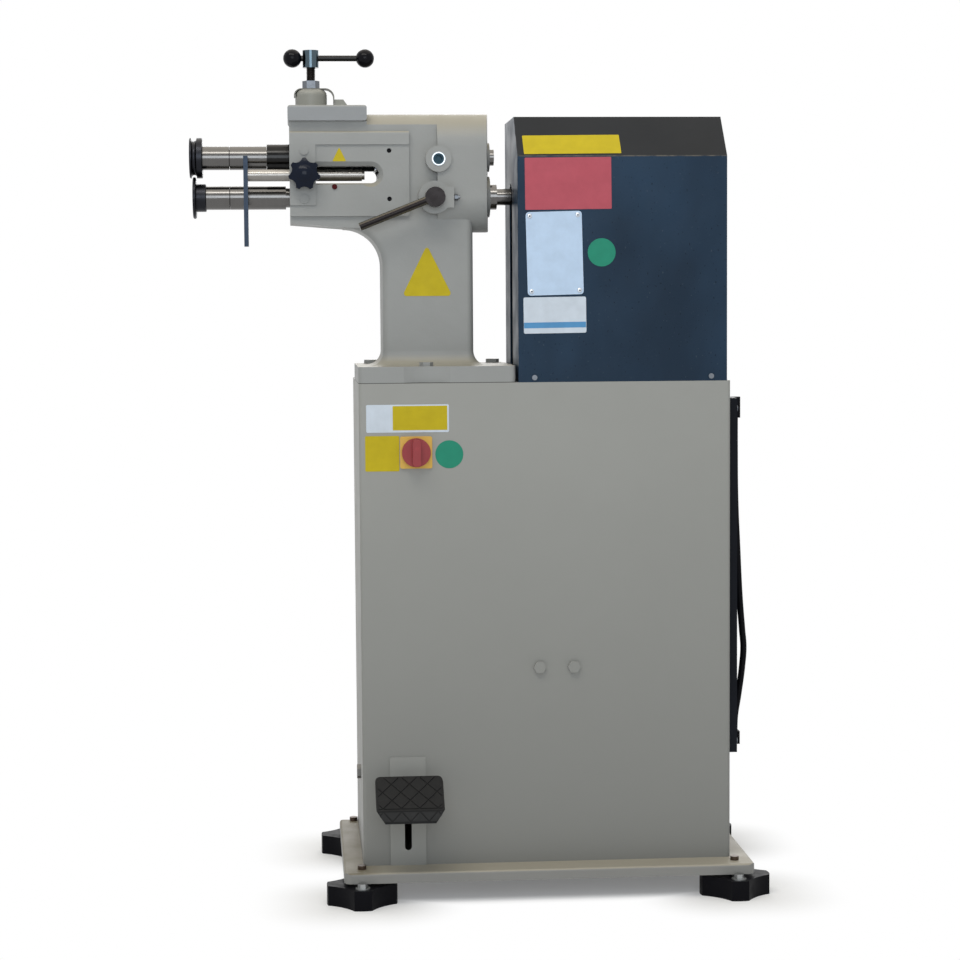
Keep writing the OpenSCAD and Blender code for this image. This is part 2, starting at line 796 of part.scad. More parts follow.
// Flat arm with a carrier plate under the pad
module pedal_arm() placed() color("#2f3033") difference() {
    union() {
        intersection() {
            block(pedal_x - arm_t / 2, pedal_x + arm_t / 2, pad_front_y + pad_t + 4, pivot_back + arm_tail,
                pedal_pivot_z - arm_h / 2, pedal_pivot_z + arm_h / 2);
            on_pad() block(-arm_t, arm_t, -2 * pad_len, 3 * pivot_back, -3 * pivot_back, -pad_t - 2);
        }
        on_pad() block(-pad_w / 2 + 14, pad_w / 2 - 14, -pad_len + 2 * pad_t, -4, -pad_t - 4, -pad_t);
        bar_x(arm_h + 8, pedal_x - arm_t / 2, pedal_x + arm_t / 2, pivot_back, pedal_pivot_z);
    }
    bar_x(pivot_d + 2 * run, pedal_x - arm_t, pedal_x + arm_t, pivot_back, pedal_pivot_z);
}

// Pad with a sloping tread and a front lip, round top corners and cut lower corners
module pedal_pad() placed() color("#26272a") intersection() {
    back_y = pad_back_y + pad_t * sin(pad_tilt);
    back_z = pad_back_z - pad_t * cos(pad_tilt);
    in_y = pad_front_y + pad_t;
    w = pad_w / 2;
    r = 8;
    cut = 13;
    low = pad_front_z - pad_lip;
    along_x(pedal_x - w, pedal_x + w) polygon([[pad_back_y, pad_back_z], [pad_front_y, pad_front_z],
        [pad_front_y, low], [in_y, low], [in_y, back_z - (back_y - in_y) * tan(pad_tilt)], [back_y, back_z]]);
    translate([pedal_x, 0, 0]) along_y(pad_front_y - over, over) {
        polygon([[-w, pad_front_z], [-w, pad_back_z - r], [r - w, pad_back_z], [w - r, pad_back_z],
            [w, pad_back_z - r], [w, pad_front_z], [w - cut, low], [cut - w, low]]);
        for (x = [r - w, w - r]) translate([x, pad_back_z - r]) circle(r);
    }
}

module pedal_pivot() placed() color("#8f9194") {
    bar_x(pivot_d, cab_x0, bracket_x0 + bracket_t + 8, pivot_back, pedal_pivot_z);
    hex_x(nut_side_w, cab_x0 - nut_side_h, cab_x0, pivot_back, pedal_pivot_z);
}

module pedal_bracket() placed() color("#6f7073") difference() {
    union() {
        block(bracket_x0, bracket_x0 + bracket_t, pivot_back - 30, pivot_back + 30, base_top,
            pedal_pivot_z + 50);
        block(bracket_x0, bracket_x0 + 46, pivot_back - 30, pivot_back + 30, base_top, base_top + bracket_t);
    }
    bar_x(pivot_d + 2 * run, bracket_x0 - over, bracket_x0 + bracket_t + over, pivot_back, pedal_pivot_z);
}

// Torsion spring on the pivot, between the arm and the bracket
module pedal_spring() placed() color("#7c7d80")
    ring_x(2 * pivot_d, pivot_d + 1, pedal_x + arm_t / 2 + gap, bracket_x0, pivot_back, pedal_pivot_z);

module pedal_switch() placed() color("#3a3b3e") {
    z0 = pedal_pivot_z + 22;
    block(bracket_x0 - 11, bracket_x0, pivot_back - 14, pivot_back + 14, z0, z0 + 26);
    bar_z(5, z0 - 3, z0, bracket_x0 - 6, pivot_back);
}

// Cast head

// How far the flange bolts pass through the tapped top plate
bolt_past = 1.5;
flange_bolt_at = [[column_x0 + 63, axis_y - 90], [flange_x0 + 25, axis_y + 83],
    [flange_x1 - 19, axis_y + 83]];

// Sloping quarter-round between the column and the flange, all round the column
module column_flare() {
    y0 = axis_y - column_d / 2;
    y1 = axis_y + column_d / 2;
    for (x = [column_x0 + column_r, column_x1 - column_r], y = [y0 + column_r, y1 - column_r])
        translate([x, y, flange_top]) rotate_extrude() difference() {
            square([column_r + flare_r, flare_r]);
            translate([column_r + flare_r, flare_r]) circle(flare_r);
        }
    along_y(y0 + column_r, y1 - column_r) difference() {
        translate([column_x0 - flare_r, flange_top]) square([column_w + 2 * flare_r, flare_r]);
        for (x = [column_x0 - flare_r, column_x1 + flare_r])
            translate([x, flange_top + flare_r]) circle(flare_r);
    }
    along_x(column_x0 + column_r, column_x1 - column_r) difference() {
        translate([y0 - flare_r, flange_top]) square([column_d + 2 * flare_r, flare_r]);
        for (y = [y0 - flare_r, y1 + flare_r]) translate([y, flange_top + flare_r]) circle(flare_r);
    }
}

// Outline of the gear end from the side, with a wide round top
module rear_outline() {
    translate([rear_front, rear_bottom + rear_r])
        square([2 * rear_half, head_top - ridge_r - rear_bottom - rear_r]);
    translate([rear_front + rear_r, rear_bottom]) square([2 * (rear_half - rear_r), rear_r + over]);
    translate([rear_front + ridge_r, head_top - ridge_r - over])
        square([2 * (rear_half - ridge_r), ridge_r + over]);
    for (y = [rear_front + rear_r, rear_back - rear_r]) translate([y, rear_bottom + rear_r]) circle(rear_r);
    for (y = [rear_front + ridge_r, rear_back - ridge_r]) translate([y, head_top - ridge_r]) circle(ridge_r);
}

// Round throat between the arm and the column, with the column's round edges carried along it
module throat() {
    x = column_x0 - throat_r;
    z = arm_root_bottom - throat_r;
    d = column_d / 2;
    wide = throat_r + 2 * column_r + 30;
    intersection() {
        translate([x, axis_y, z]) rotate([-90, 0, 0]) rotate_extrude() {
            translate([throat_r + column_r, -d]) square([wide - throat_r - column_r, 2 * d]);
            translate([throat_r, column_r - d]) square([wide - throat_r, 2 * (d - column_r)]);
            for (y = [column_r - d, d - column_r]) translate([throat_r + column_r, y]) circle(column_r);
        }
        block(x, column_x0 + column_r + over, axis_y - d - over, axis_y + d + over, z, arm_root_bottom + over);
    }
}

// Outside of the casting, without its pad, bosses and bores
module head_body() {
    y0 = axis_y - column_d / 2;
    y1 = axis_y + column_d / 2;
    along_y(arm_front, arm_back) polygon([[head_left, arm_tip_bottom], [arm_root_x, arm_root_bottom],
        [rear_left + over, arm_root_bottom], [rear_left + over, ridge_z], [cap_x1, ridge_z],
        [cap_x1, cap_seat], [head_left, cap_seat]]);
    along_x(cap_x1, rear_left + over) intersection() {
        rear_outline();
        translate([arm_front, ridge_z - over]) square([2 * arm_half, head_top - ridge_z + over]);
    }
    intersection() {
        along_x(rear_left, head_right) rear_outline();
        translate([0, 0, rear_bottom]) linear_extrude(head_top - rear_bottom)
            polygon([[rear_left, rear_front], [head_right - rear_draft, rear_front], [head_right, axis_y],
                [head_right - rear_draft, rear_back], [rear_left, rear_back]]);
    }
    translate([0, 0, flange_top - over]) linear_extrude(arm_root_bottom + 30 - flange_top)
        round_rect(column_x0, column_x1, y0, y1, column_r);
    throat();
    translate([0, 0, cab_top]) linear_extrude(flange_t)
        round_rect(flange_x0, flange_x1, flange_y0, flange_y0 + flange_d, 8);
    column_flare();
}

// Slot of the gauge rod, with a bevel on its front rim
module gauge_slot() {
    end_x = head_left + slot_len - slot_h / 2;
    r = slot_h / 2;
    bar_y(slot_h, pad_front - over, arm_back + over, end_x, gauge_z);
    block(head_left - over, end_x, pad_front - over, arm_back + over, gauge_z - r, gauge_z + r);
    translate([end_x, pad_front + pocket_deep, gauge_z]) rotate([-90, 0, 0])
        cylinder(r1 = r + slot_bevel, r2 = r, h = slot_bevel);
    translate([0, 0, gauge_z]) along_x(head_left + plate_w, end_x) translate([pad_front + pocket_deep, 0])
        polygon([[0, -r - 2], [0, r + slot_bevel], [slot_bevel, r], [slot_bevel, -r]]);
}

// Room for the rocker, the gears and the shafts
module head_room() {
    block(head_left - over, cross_x0, axis_y - channel_half, axis_y + channel_half,
        upper_z - tube_d / 2 - 2, cap_seat + over);
    block(cross_x0 - 4, block_x1 + 4, axis_y - chamber_side, axis_y + chamber_side,
        upper_z - rocker_up - 6, upper_z + rocker_up + 8);
    block(gear_x0 - gear_room, gear_x1 + gear_room, axis_y - tip_r - gear_room, axis_y + tip_r + gear_room,
        lower_z - tip_r - gear_room, upper_z + tip_r + 2 * gear_room);
    bar_x(upper_shaft_d + 12, block_x1, head_right + 5, axis_y, upper_z);
    bar_x(lower_shaft_d + 2 * lower_room, head_left - over, head_right + 5, axis_y, lower_z);
    for (x = [head_left - over, head_right - bush_len])
        bar_x(lower_shaft_d + 2 * lower_bush_wall, x, x + bush_len + over, axis_y, lower_z);
}

module head_frame() placed() color("#b0aea0") difference() {
    union() {
        head_body();
        along_y(pad_front + pocket_deep, arm_front + over) round_rect(head_left, pad_x1, pad_z0, pad_z1, 4);
        along_y(pad_front, arm_front + over) round_rect(head_left, pad_x1, pocket_z1, pad_z1, 2);
        bar_y(plug_boss_d, plug_boss_y, rear_front + rear_r, pivot_x, pivot_z);
        bar_y(plug_boss_d, rear_back - rear_r, rear_back + 4, pivot_x, pivot_z);
        bar_y(lever_boss_d, lever_boss_y, rear_front + rear_r, lever_x, lever_z);
        block(lever_x, tab_x, lever_boss_y, rear_front + over, lever_z - tab_half, lever_z + tab_half);
        bar_x(44, head_right - rear_draft, head_right + 2, axis_y, upper_z);
        bar_x(62, head_right - rear_draft, head_right + 2, axis_y, lower_z);
    }
    block(head_left - over, head_left + plate_w, pad_front - over, arm_front, plate_z0, plate_z1);
    along_x(head_left - over, pad_x1 + over) difference() {
        translate([pad_front - over, pad_z1 - pad_edge_r]) square(pad_edge_r + over);
        translate([pad_front + pad_edge_r, pad_z1 - pad_edge_r]) circle(pad_edge_r);
    }
    gauge_slot();
    head_room();
    bar_y(trunnion_d + 2 * run, rear_front - 10, rear_back + 10, pivot_x, pivot_z);
    bar_y(lever_pin_d + 2 * run, lever_boss_y - over, axis_y - lower_shaft_d / 2 - 6, lever_x, lever_z);
    for (z = [upper_z + 7, lower_z - 5])
        bar_y(7, pad_front - over, pad_front + 12, head_left + 149, z);
    for (z = [plate_screw_z0, plate_screw_z1])
        bar_y(8 + 2 * run, arm_front - over, arm_front + 16, plate_mid, z);
    bar_y(oil_d, pad_front - over, pad_front + 10, oil_x, oil_z);
    bar_x(5 + 2 * run, tab_x - 10, tab_x + over, lock_screw_y, lever_z);
    for (p = cap_screw_at) bar_z(8 + 2 * run, cap_seat - 20, cap_seat + over, p[0], p[1]);
    for (p = flange_bolt_at) {
        bar_z(12 + 2 * run, cab_top - over, flange_top + over, p[0], p[1]);
        bar_z(24, flange_top - 1.5, flange_top + 9, p[0], p[1]);
    }
    translate([flange_bolt_at[0][0], -96, cab_top - over]) cylinder(r = 102, h = flange_t + 2 * over);
}

module flange_bolts() placed() color("#b0aea0") for (p = flange_bolt_at) {
    seat = flange_top - 1.5;
    hex_z(18, seat, seat + 7.5, p[0], p[1]);
    bar_z(12, cab_top - top_plate_t - bolt_past, seat, p[0], p[1]);
}

// Cap, pressure screw and handle

cap_screw_in = 14;
cap_screw_out = 44;
cap_screw_at = [for (x = [cap_x0 + cap_screw_in, cap_x1 - cap_screw_in], s = [-1, 1])
    [x, axis_y + s * cap_screw_out]];

module top_cap() placed() color("#b0aea0") difference() {
    union() {
        intersection() {
            along_y(cap_y0, cap_y1) round_rect(cap_x0, cap_x1, cap_seat, cap_top, 4);
            along_x(cap_x0, cap_x1) round_rect(cap_y0, cap_y1, cap_seat - 10, cap_top, 4);
        }
        bar_z(boss_d, cap_top - over, boss_top - boss_edge_r, screw_x, axis_y);
        translate([screw_x, axis_y, boss_top - boss_edge_r]) rotate_extrude() {
            translate([0, -over]) square([boss_d / 2 - boss_edge_r, boss_edge_r + over]);
            intersection() {
                translate([boss_d / 2 - boss_edge_r, 0]) circle(boss_edge_r);
                square([boss_d / 2, boss_edge_r]);
            }
        }
        along_y(axis_y - 8, axis_y + 8) translate([screw_x + hump_in, cap_top])
            polygon([[0, -over], [0, hump_h], [hump_w, hump_h], [hump_w + hump_run, -over]]);
    }
    bar_z(bush_d + 2 * run, cap_seat - over, boss_top + over, screw_x, axis_y);
    for (p = cap_screw_at) {
        bar_z(8 + 2 * run, cap_seat - over, cap_top + over, p[0], p[1]);
        bar_z(13.5, cap_top - 8.5, cap_top + over, p[0], p[1]);
    }
}

module cap_screws() placed() color("#77787b") for (p = cap_screw_at) difference() {
    union() {
        bar_z(13, cap_top - 8.5, cap_top - 0.5, p[0], p[1]);
        bar_z(8, cap_seat - 18, cap_top - 8.5, p[0], p[1]);
    }
    hex_z(6, cap_top - 5, cap_top, p[0], p[1]);
}

// Bent spring strip that arches over the boss, is held under the nut and stands on the cap
module screw_strap() placed() color("#a8a79c") {
    curl_r = boss_edge_r + gap + strap_t;
    bend_r = 14;
    flat_x0 = screw_x - boss_d / 2 + boss_edge_r;
    leg_x1 = screw_x + hump_in - gap;
    flat_x1 = leg_x1 - bend_r;
    difference() {
        along_y(axis_y - strap_w / 2, axis_y + strap_w / 2) {
            translate([flat_x0, boss_top]) square([flat_x1 - flat_x0, strap_t]);
            translate([flat_x1, boss_top + strap_t - bend_r]) intersection() {
                difference() {
                    circle(bend_r);
                    circle(bend_r - strap_t);
                }
                square(bend_r);
            }
            translate([leg_x1 - strap_t, cap_top]) square([strap_t, boss_h + strap_t - bend_r]);
            translate([flat_x0, boss_top + strap_t - curl_r]) intersection() {
                difference() {
                    circle(curl_r);
                    circle(curl_r - strap_t);
                }
                translate([-curl_r, -2]) square([curl_r, curl_r + 2]);
            }
        }
        bar_z(bush_d + 2 * run, boss_top - over, boss_top + 2 * strap_t, screw_x, axis_y);
    }
}

// Threaded bush with a hexagon head, which is the nut of the pressure screw
module screw_nut() placed() color("#b9b9b2") difference() {
    union() {
        hex_z(nut_w, nut_z0, nut_z0 + nut_h, screw_x, axis_y);
        bar_z(bush_d, cap_seat, nut_z0 + over, screw_x, axis_y);
    }
    bar_z(screw_d + 2 * run, cap_seat - over, nut_z0 + nut_h + over, screw_x, axis_y);
}

// Foot of the pressure screw: a disc held in the rocker's tee slot
module thrust_foot() placed() color("#8f9194") difference() {
    union() {
        bar_z(foot_disc_d, foot_disc_z, foot_disc_z + foot_disc_t, screw_x, axis_y);
        bar_z(foot_neck_d, foot_disc_z, lug_top + 3, screw_x, axis_y);
    }
    bar_z(spigot_d + 2 * run, foot_disc_z + 1.5, lug_top + 4, screw_x, axis_y);
}

module pressure_screw() placed() color("#2b2b2e") {
    bar_z(spigot_d, foot_disc_z + 2, lug_top + 4, screw_x, axis_y);
    bar_z(screw_d, lug_top + 3, hub_z0, screw_x, axis_y);
}

module handle_hub() placed() color("#b4b7bb") difference() {
    bar_z(hub_d, hub_z0, hub_z0 + hub_h, screw_x, axis_y);
    bar_x(bar_d + 2 * run, screw_x - hub_d, screw_x + hub_d, axis_y, bar_z);
}

module tommy_bar() placed() color("#1f1f22")
    bar_x(bar_d, ball_left_x - ball_d / 2 + ball_hole - 6, ball_right_x + ball_d / 2 - ball_hole + 6,
        axis_y, bar_z);

module ball_knobs() placed() color("#18181a") for (s = [-1, 1]) difference() {
    x = s < 0 ? ball_left_x : ball_right_x;
    translate([x, axis_y, bar_z]) sphere(d = ball_d);
    bar_x(bar_d + 2 * run, s < 0 ? x - ball_d / 2 + ball_hole - 6 : x - ball_d,
        s < 0 ? x + ball_d : x + ball_d / 2 - ball_hole + 6, axis_y, bar_z);
}

// Rocker and upper shaft

module rocker() placed() color("#23262e") difference() {
    union() {
        bar_x(tube_d, rocker_front, cross_x1, axis_y, upper_z);
        for (x = [[cross_x0, cross_x1], [block_x0, block_x1]])
            block(x[0], x[1], axis_y - rocker_half, axis_y + rocker_half,
                upper_z - rocker_up, upper_z + rocker_up);
        for (y = [axis_y - rocker_half, axis_y + rocker_half - cheek_t])
            block(cross_x0, block_x1, y, y + cheek_t, upper_z - rocker_up, upper_z + rocker_up);
        block(screw_x - lug_half, screw_x + lug_half, axis_y - lug_half, axis_y + lug_half, upper_z, lug_top);
    }
    bar_x(upper_shaft_d + 3, rocker_front - over, block_x1 + over, axis_y, upper_z);
    for (x = [rocker_front, block_x1 - bush_len])
        bar_x(upper_shaft_d + 2 * upper_bush_wall, x - (x == rocker_front ? over : 0),
            x + bush_len + (x == rocker_front ? 0 : over), axis_y, upper_z);
    for (y = [axis_y - rocker_half - over, axis_y + rocker_half - 14])
        bar_y(trunnion_tip_d + 2 * run, y, y + 15, pivot_x, pivot_z);
    block(screw_x - foot_disc_d / 2 - 2, screw_x + lug_half + over, axis_y - foot_disc_d / 2 - 1,
        axis_y + foot_disc_d / 2 + 1, foot_disc_z - foot_play, foot_disc_z + foot_disc_t + foot_play);
    block(screw_x - foot_neck_d / 2 - 2, screw_x + lug_half + over, axis_y - foot_neck_d / 2 - 1,
        axis_y + foot_neck_d / 2 + 1, foot_disc_z, lug_top + over);
}

module rocker_bushes() placed() color("#b08d4a") for (x = [rocker_front, block_x1 - bush_len])
    ring_x(upper_shaft_d + 2 * upper_bush_wall, upper_shaft_d + 2 * run, x, x + bush_len, axis_y, upper_z);

// Socket screws whose tips carry the rocker
module trunnion_screws() placed() color("#aeb2b6") for (s = [-1, 1]) difference() {
    face = s < 0 ? plug_boss_y : rear_back + 4;
    inner = axis_y + s * (rocker_half + 1.5);
    tip = axis_y + s * (rocker_half - 12);
    union() {
        bar_y(trunnion_d, min(face - 1, inner), max(face + 1, inner), pivot_x, pivot_z);
        bar_y(trunnion_tip_d, min(inner, tip), max(inner, tip), pivot_x, pivot_z);
    }
    hex_y(10, min(face - 8 * s, face + 4 * s), max(face - 8 * s, face + 4 * s), pivot_x, pivot_z);
}

module upper_shaft() placed() color("#c2c0ba") {
    bar_x(roll_bore_d, roll_left + roll_screw_h + 1, upper_spacer_x0, axis_y, upper_z);
    bar_x(upper_shaft_d, upper_spacer_x0, head_right + 9, axis_y, upper_z);
}

// Spacer sleeves on a shaft, in two lengths
module spacers(x0, x1, bore, z) {
    for (x = [[x0, spacer_joint - gap / 2], [spacer_joint + gap / 2, x1]])
        ring_x(spacer_d, bore, x[0], x[1], axis_y, z);
}

module upper_spacers() placed() color("#c9c6bd")
    spacers(upper_spacer_x0, upper_spacer_x1, upper_shaft_d + 2 * run, upper_z);

module upper_roll() placed() color("#222326") translate([roll_left, axis_y, upper_z]) rotate([0, 90, 0])
    rotate_extrude() difference() {
        r = upper_roll_d / 2;
        bore = roll_bore_d / 2 + run;
        seat = roll_screw_d / 2 + gap;
        polygon([[seat, 0], [r - 1, 0], [r, 1], [r, upper_roll_w - 1], [r - 1, upper_roll_w],
            [bore, upper_roll_w], [bore, roll_screw_h + 1], [seat, roll_screw_h + 1]]);
        translate([groove_r + groove_w / 2, roll_rim + groove_w / 2]) circle(groove_w / 2);
        translate([groove_r + groove_w / 2, roll_rim]) square([r, groove_w]);
    }

// Countersunk screw with a hexagon socket in the end of a shaft
module roll_screw(x0, z) {
    difference() {
        bar_x(roll_screw_d, x0, x0 + roll_screw_h, axis_y, z);
        hex_x(8, x0 - over, x0 + 3.5, axis_y, z);
    }
}

module upper_roll_screw() placed() color("#3a3b3f") roll_screw(roll_left + 1, upper_z);

module upper_gear() placed() color("#7d7e80")
    spur_gear(gear_x0, gear_x1, upper_z, upper_shaft_d + 2 * run, tooth_step / 2);

// Lower shaft

module lower_shaft() placed() color("#c2c0ba") {
    bar_x(roll_bore_d, disc_x0 + roll_screw_h + 1, disc_x0 + disc_t + lower_hub_w, axis_y, lower_z);
    bar_x(upper_shaft_d, disc_x0 + disc_t + lower_hub_w, lower_spacer_x1, axis_y, lower_z);
    bar_x(lower_shaft_d, lower_spacer_x1, head_right + 2.4, axis_y, lower_z);
    bar_x(collar_d, head_right + 2.4, head_right + 2.4 + collar_w, axis_y, lower_z);
    bar_x(drive_d, head_right + 2.4 + collar_w, shaft_end, axis_y, lower_z);
}

module lower_spacers() placed() color("#c9c6bd")
    spacers(lower_spacer_x0, lower_spacer_x1, upper_shaft_d + 2 * run, lower_z);

module lower_roll() placed() color("#222326") translate([disc_x0, axis_y, lower_z]) rotate([0, 90, 0])
    rotate_extrude() {
        r = lower_roll_d / 2;
        bore = roll_bore_d / 2 + run;
        seat = roll_screw_d / 2 + gap;
        w = disc_t + lower_hub_w;
        polygon([[seat, 0], [r - 1.5, 0], [r, 1.5], [r, disc_t - 1.5], [r - 1.5, disc_t],
            [lower_hub_d / 2, disc_t], [lower_hub_d / 2, w - 1], [lower_hub_d / 2 - 1, w],
            [bore, w], [bore, roll_screw_h + 1], [seat, roll_screw_h + 1]]);
    }

module lower_roll_screw() placed() color("#3a3b3f") roll_screw(disc_x0 + 1, lower_z);

module lower_gear() placed() color("#7d7e80")
    spur_gear(gear_x0, gear_x1, lower_z, lower_shaft_d + 2 * run, 0);

module lower_bushes() placed() color("#b08d4a") for (x = [head_left, head_right - bush_len])
    ring_x(lower_shaft_d + 2 * lower_bush_wall, lower_shaft_d + 2 * run, x, x + bush_len, axis_y, lower_z);

module oil_point() placed() color("#8c1f22")
    bar_y(oil_d - 2 * run, pad_front + 1, pad_front + 9, oil_x, oil_z);

// Gauge

module gauge_bracket() placed() color("#b0aea0") difference() {
    union() {
        block(head_left, head_left + plate_w, arm_front - plate_t, arm_front, plate_z0, plate_z1);
        block(head_left, head_left + plate_w, arm_front - over, gauge_y + gauge_rod_d / 2 + 6,
            gauge_z - slot_h / 2 + gap, gauge_z + slot_h / 2 - gap);
        bar_y(24, arm_front - plate_t - 4, arm_front, plate_mid, gauge_z);
    }
    bar_x(gauge_rod_d + 2 * run, head_left - over, head_left + plate_w + over, gauge_y, gauge_z);
    bar_y(stud_d + 2 * run, arm_front - plate_t - 5, gauge_y, plate_mid, gauge_z);
    for (z = [plate_screw_z0, plate_screw_z1]) {
        bar_y(8 + 2 * run, arm_front - plate_t - over, arm_front + over, plate_mid, z);
        bar_y(plate_screw_d + 2 * run, arm_front - plate_t - over, arm_front - plate_t + 6, plate_mid, z);
    }
}

module gauge_screws() placed() color("#b0aea0") for (z = [plate_screw_z0, plate_screw_z1]) {
    bar_y(plate_screw_d, arm_front - plate_t - screw_proud, arm_front - plate_t + 6, plate_mid, z);
    bar_y(8, arm_front - plate_t + 6, arm_front + 15, plate_mid, z);
}

module gauge_rod() placed() color("#c2c0ba") {
    bar_x(gauge_rod_d, gauge_x0, gauge_x1 - gauge_tip, gauge_y, gauge_z);
    bar_x(gauge_rod_d - 4, gauge_x1 - gauge_tip, gauge_x1, gauge_y, gauge_z);
}

module gauge_stop() placed() color("#56657c")
    block(gauge_x0 - stop_t, gauge_x0, gauge_y - stop_deep / 2, gauge_y + stop_deep / 2,
        gauge_z + 28.5 - stop_h, gauge_z + 28.5);

// Hand knob with seven lobes, a crowned front and a domed middle, on its clamp stud
module star_knob() placed() color("#1b1d26") {
    intersection() {
        translate([plate_mid, star_y0 + star_t, gauge_z]) rotate([90, 0, 0]) linear_extrude(star_t) difference() {
            circle(d = star_d);
            for (i = [0 : star_lobes - 1]) rotate(i * 360 / star_lobes + 90 + 180 / star_lobes)
                translate([star_d / 2 + 5, 0]) circle(10);
        }
        translate([plate_mid, star_y0 + star_crown_r, gauge_z]) sphere(star_crown_r);
    }
    intersection() {
        bar_y(star_dome_d, star_y0 - star_proud - over, star_y0 + star_t / 2, plate_mid, gauge_z);
        translate([plate_mid, star_y0 - star_proud + star_dome_r, gauge_z]) sphere(star_dome_r);
    }
    bar_y(22, star_y0 + star_t, arm_front - plate_t - 4 - gap, plate_mid, gauge_z);
    bar_y(stud_d, star_y0 + star_t, gauge_y - gauge_rod_d / 2 - gap, plate_mid, gauge_z);
}

// Lock lever on the front of the head
module lock_lever() placed() color("#3b3836") {
    bar_y(lever_hub_d, lever_y - 6, lever_boss_y - gap, lever_x, lever_z);
    bar_y(lever_pin_d, lever_boss_y - gap - over, axis_y - lower_shaft_d / 2 - 8, lever_x, lever_z);
    translate([lever_x, lever_y, lever_z]) rotate([0, -lever_drop, 0]) rotate([0, -90, 0])
        cylinder(d = lever_d, h = lever_len);
}

module lever_screw() placed() color("#b4b7bb") {
    bar_x(5, tab_x - 9, tab_x + 9, lock_screw_y, lever_z);
    hex_x(8, tab_x + 1, tab_x + 6, lock_screw_y, lever_z);
}

// Cover and drive

// Outline of the cover from the side, drawn in by t
module cover_outline(t) {
    knee = t * tan(atan2(slant_d, slant_h) / 2);
    top = t * tan(atan2(slant_h, slant_d) / 2);
    polygon([[t, cab_top - (t > 0 ? over : 0)], [t, cover_top - slant_h - knee], [slant_d + top, cover_top - t],
        [cover_d - t, cover_top - t], [cover_d - t, cab_top - (t > 0 ? over : 0)]]);
}

module drive_cover() placed() color("#323a4a") difference() {
    along_x(cover_x0, cover_x1) cover_outline(0);
    along_x(cover_x0 + cover_sheet, cover_x1 - cover_sheet) cover_outline(cover_sheet);
    bar_x(cover_slot_w, cover_x0 - over, cover_x0 + cover_sheet + over, axis_y, lower_z);
    block(cover_x0 - over, cover_x0 + cover_sheet + over, axis_y - cover_slot_w / 2, axis_y + cover_slot_w / 2,
        cab_top - over, lower_z);
}

// Coupling with the stub of the gear motor's shaft
module drive_coupling() placed() color("#8f9194") {
    ring_x(coupling_d, drive_d + 2 * run, coupling_x0, shaft_end, axis_y, lower_z);
    bar_x(coupling_d, shaft_end, coupling_x1, axis_y, lower_z);
    bar_x(drive_d, coupling_x1, case_x0 + 30, axis_y, lower_z);
}

module gear_motor() placed() color("#4a5f74") difference() {
    union() {
        along_x(case_x0, case_x1) round_rect(axis_y - case_half, axis_y + case_half, lower_z - case_low,
            lower_z + case_high, 14);
        bar_x(motor_d, case_x1 - over, motor_x1, axis_y, lower_z);
        bar_x(cowl_d, motor_x1 - over, cowl_x1, axis_y, lower_z);
        block(case_x1 + 18, motor_x1 - 12, axis_y - 34, axis_y + 34, lower_z, lower_z + motor_d / 2 + 28);
    }
    bar_x(drive_d + 2 * run, case_x0 - over, case_x0 + 31, axis_y, lower_z);
}

// Folded stand under the gear case
module motor_stand() placed() color("#6f7073") difference() {
    block(case_x0, case_x1, axis_y - case_half, axis_y + case_half, cab_top, lower_z - case_low);
    block(case_x0 - over, case_x1 + over, axis_y - case_half + stand_t, axis_y + case_half - stand_t,
        cab_top + stand_t, lower_z - case_low - stand_t);
}

foot_pads();
foot_bolts();
base_pan();
cabinet_shell();
cabinet_top();
back_panel();
panel_screws();
side_panel();
lead_glands();
side_lead();
cable_inlet();
front_bolts();
control_box();
switch_plate();
switch_knob();
switch_body();
pedal_guard();
pedal_arm();
pedal_pad();
pedal_pivot();
pedal_bracket();
pedal_spring();
pedal_switch();
head_frame();
flange_bolts();
top_cap();
cap_screws();
screw_strap();
screw_nut();
thrust_foot();
pressure_screw();
handle_hub();
tommy_bar();
ball_knobs();
rocker();
rocker_bushes();
trunnion_screws();
upper_shaft();
upper_spacers();
upper_roll();
upper_roll_screw();
upper_gear();
lower_shaft();
lower_spacers();
lower_roll();
lower_roll_screw();
lower_gear();
lower_bushes();
oil_point();
gauge_bracket();
gauge_screws();
gauge_rod();
gauge_stop();
star_knob();
lock_lever();
lever_screw();
drive_cover();
drive_coupling();
gear_motor();
motor_stand();
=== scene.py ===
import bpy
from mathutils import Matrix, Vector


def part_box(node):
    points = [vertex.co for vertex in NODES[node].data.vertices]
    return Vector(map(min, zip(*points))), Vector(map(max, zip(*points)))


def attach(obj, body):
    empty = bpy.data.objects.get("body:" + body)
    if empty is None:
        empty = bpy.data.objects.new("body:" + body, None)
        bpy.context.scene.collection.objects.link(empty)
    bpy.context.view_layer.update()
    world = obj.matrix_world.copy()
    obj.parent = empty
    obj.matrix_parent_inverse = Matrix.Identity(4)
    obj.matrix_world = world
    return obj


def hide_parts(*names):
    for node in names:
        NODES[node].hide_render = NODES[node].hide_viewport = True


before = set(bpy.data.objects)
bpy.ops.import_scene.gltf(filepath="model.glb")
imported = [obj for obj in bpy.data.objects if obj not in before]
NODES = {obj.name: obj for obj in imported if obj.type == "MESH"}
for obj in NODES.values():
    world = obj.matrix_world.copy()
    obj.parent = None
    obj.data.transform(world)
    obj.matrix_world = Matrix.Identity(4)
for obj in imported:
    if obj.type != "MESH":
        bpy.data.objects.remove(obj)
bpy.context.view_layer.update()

import math
import bpy
from mathutils import Matrix, Vector

MM = 0.001
SCENE = bpy.context.scene


def middle(box, axis):
    """The middle of a box along an axis, 0 to 2."""
    return (box[0][axis] + box[1][axis]) / 2


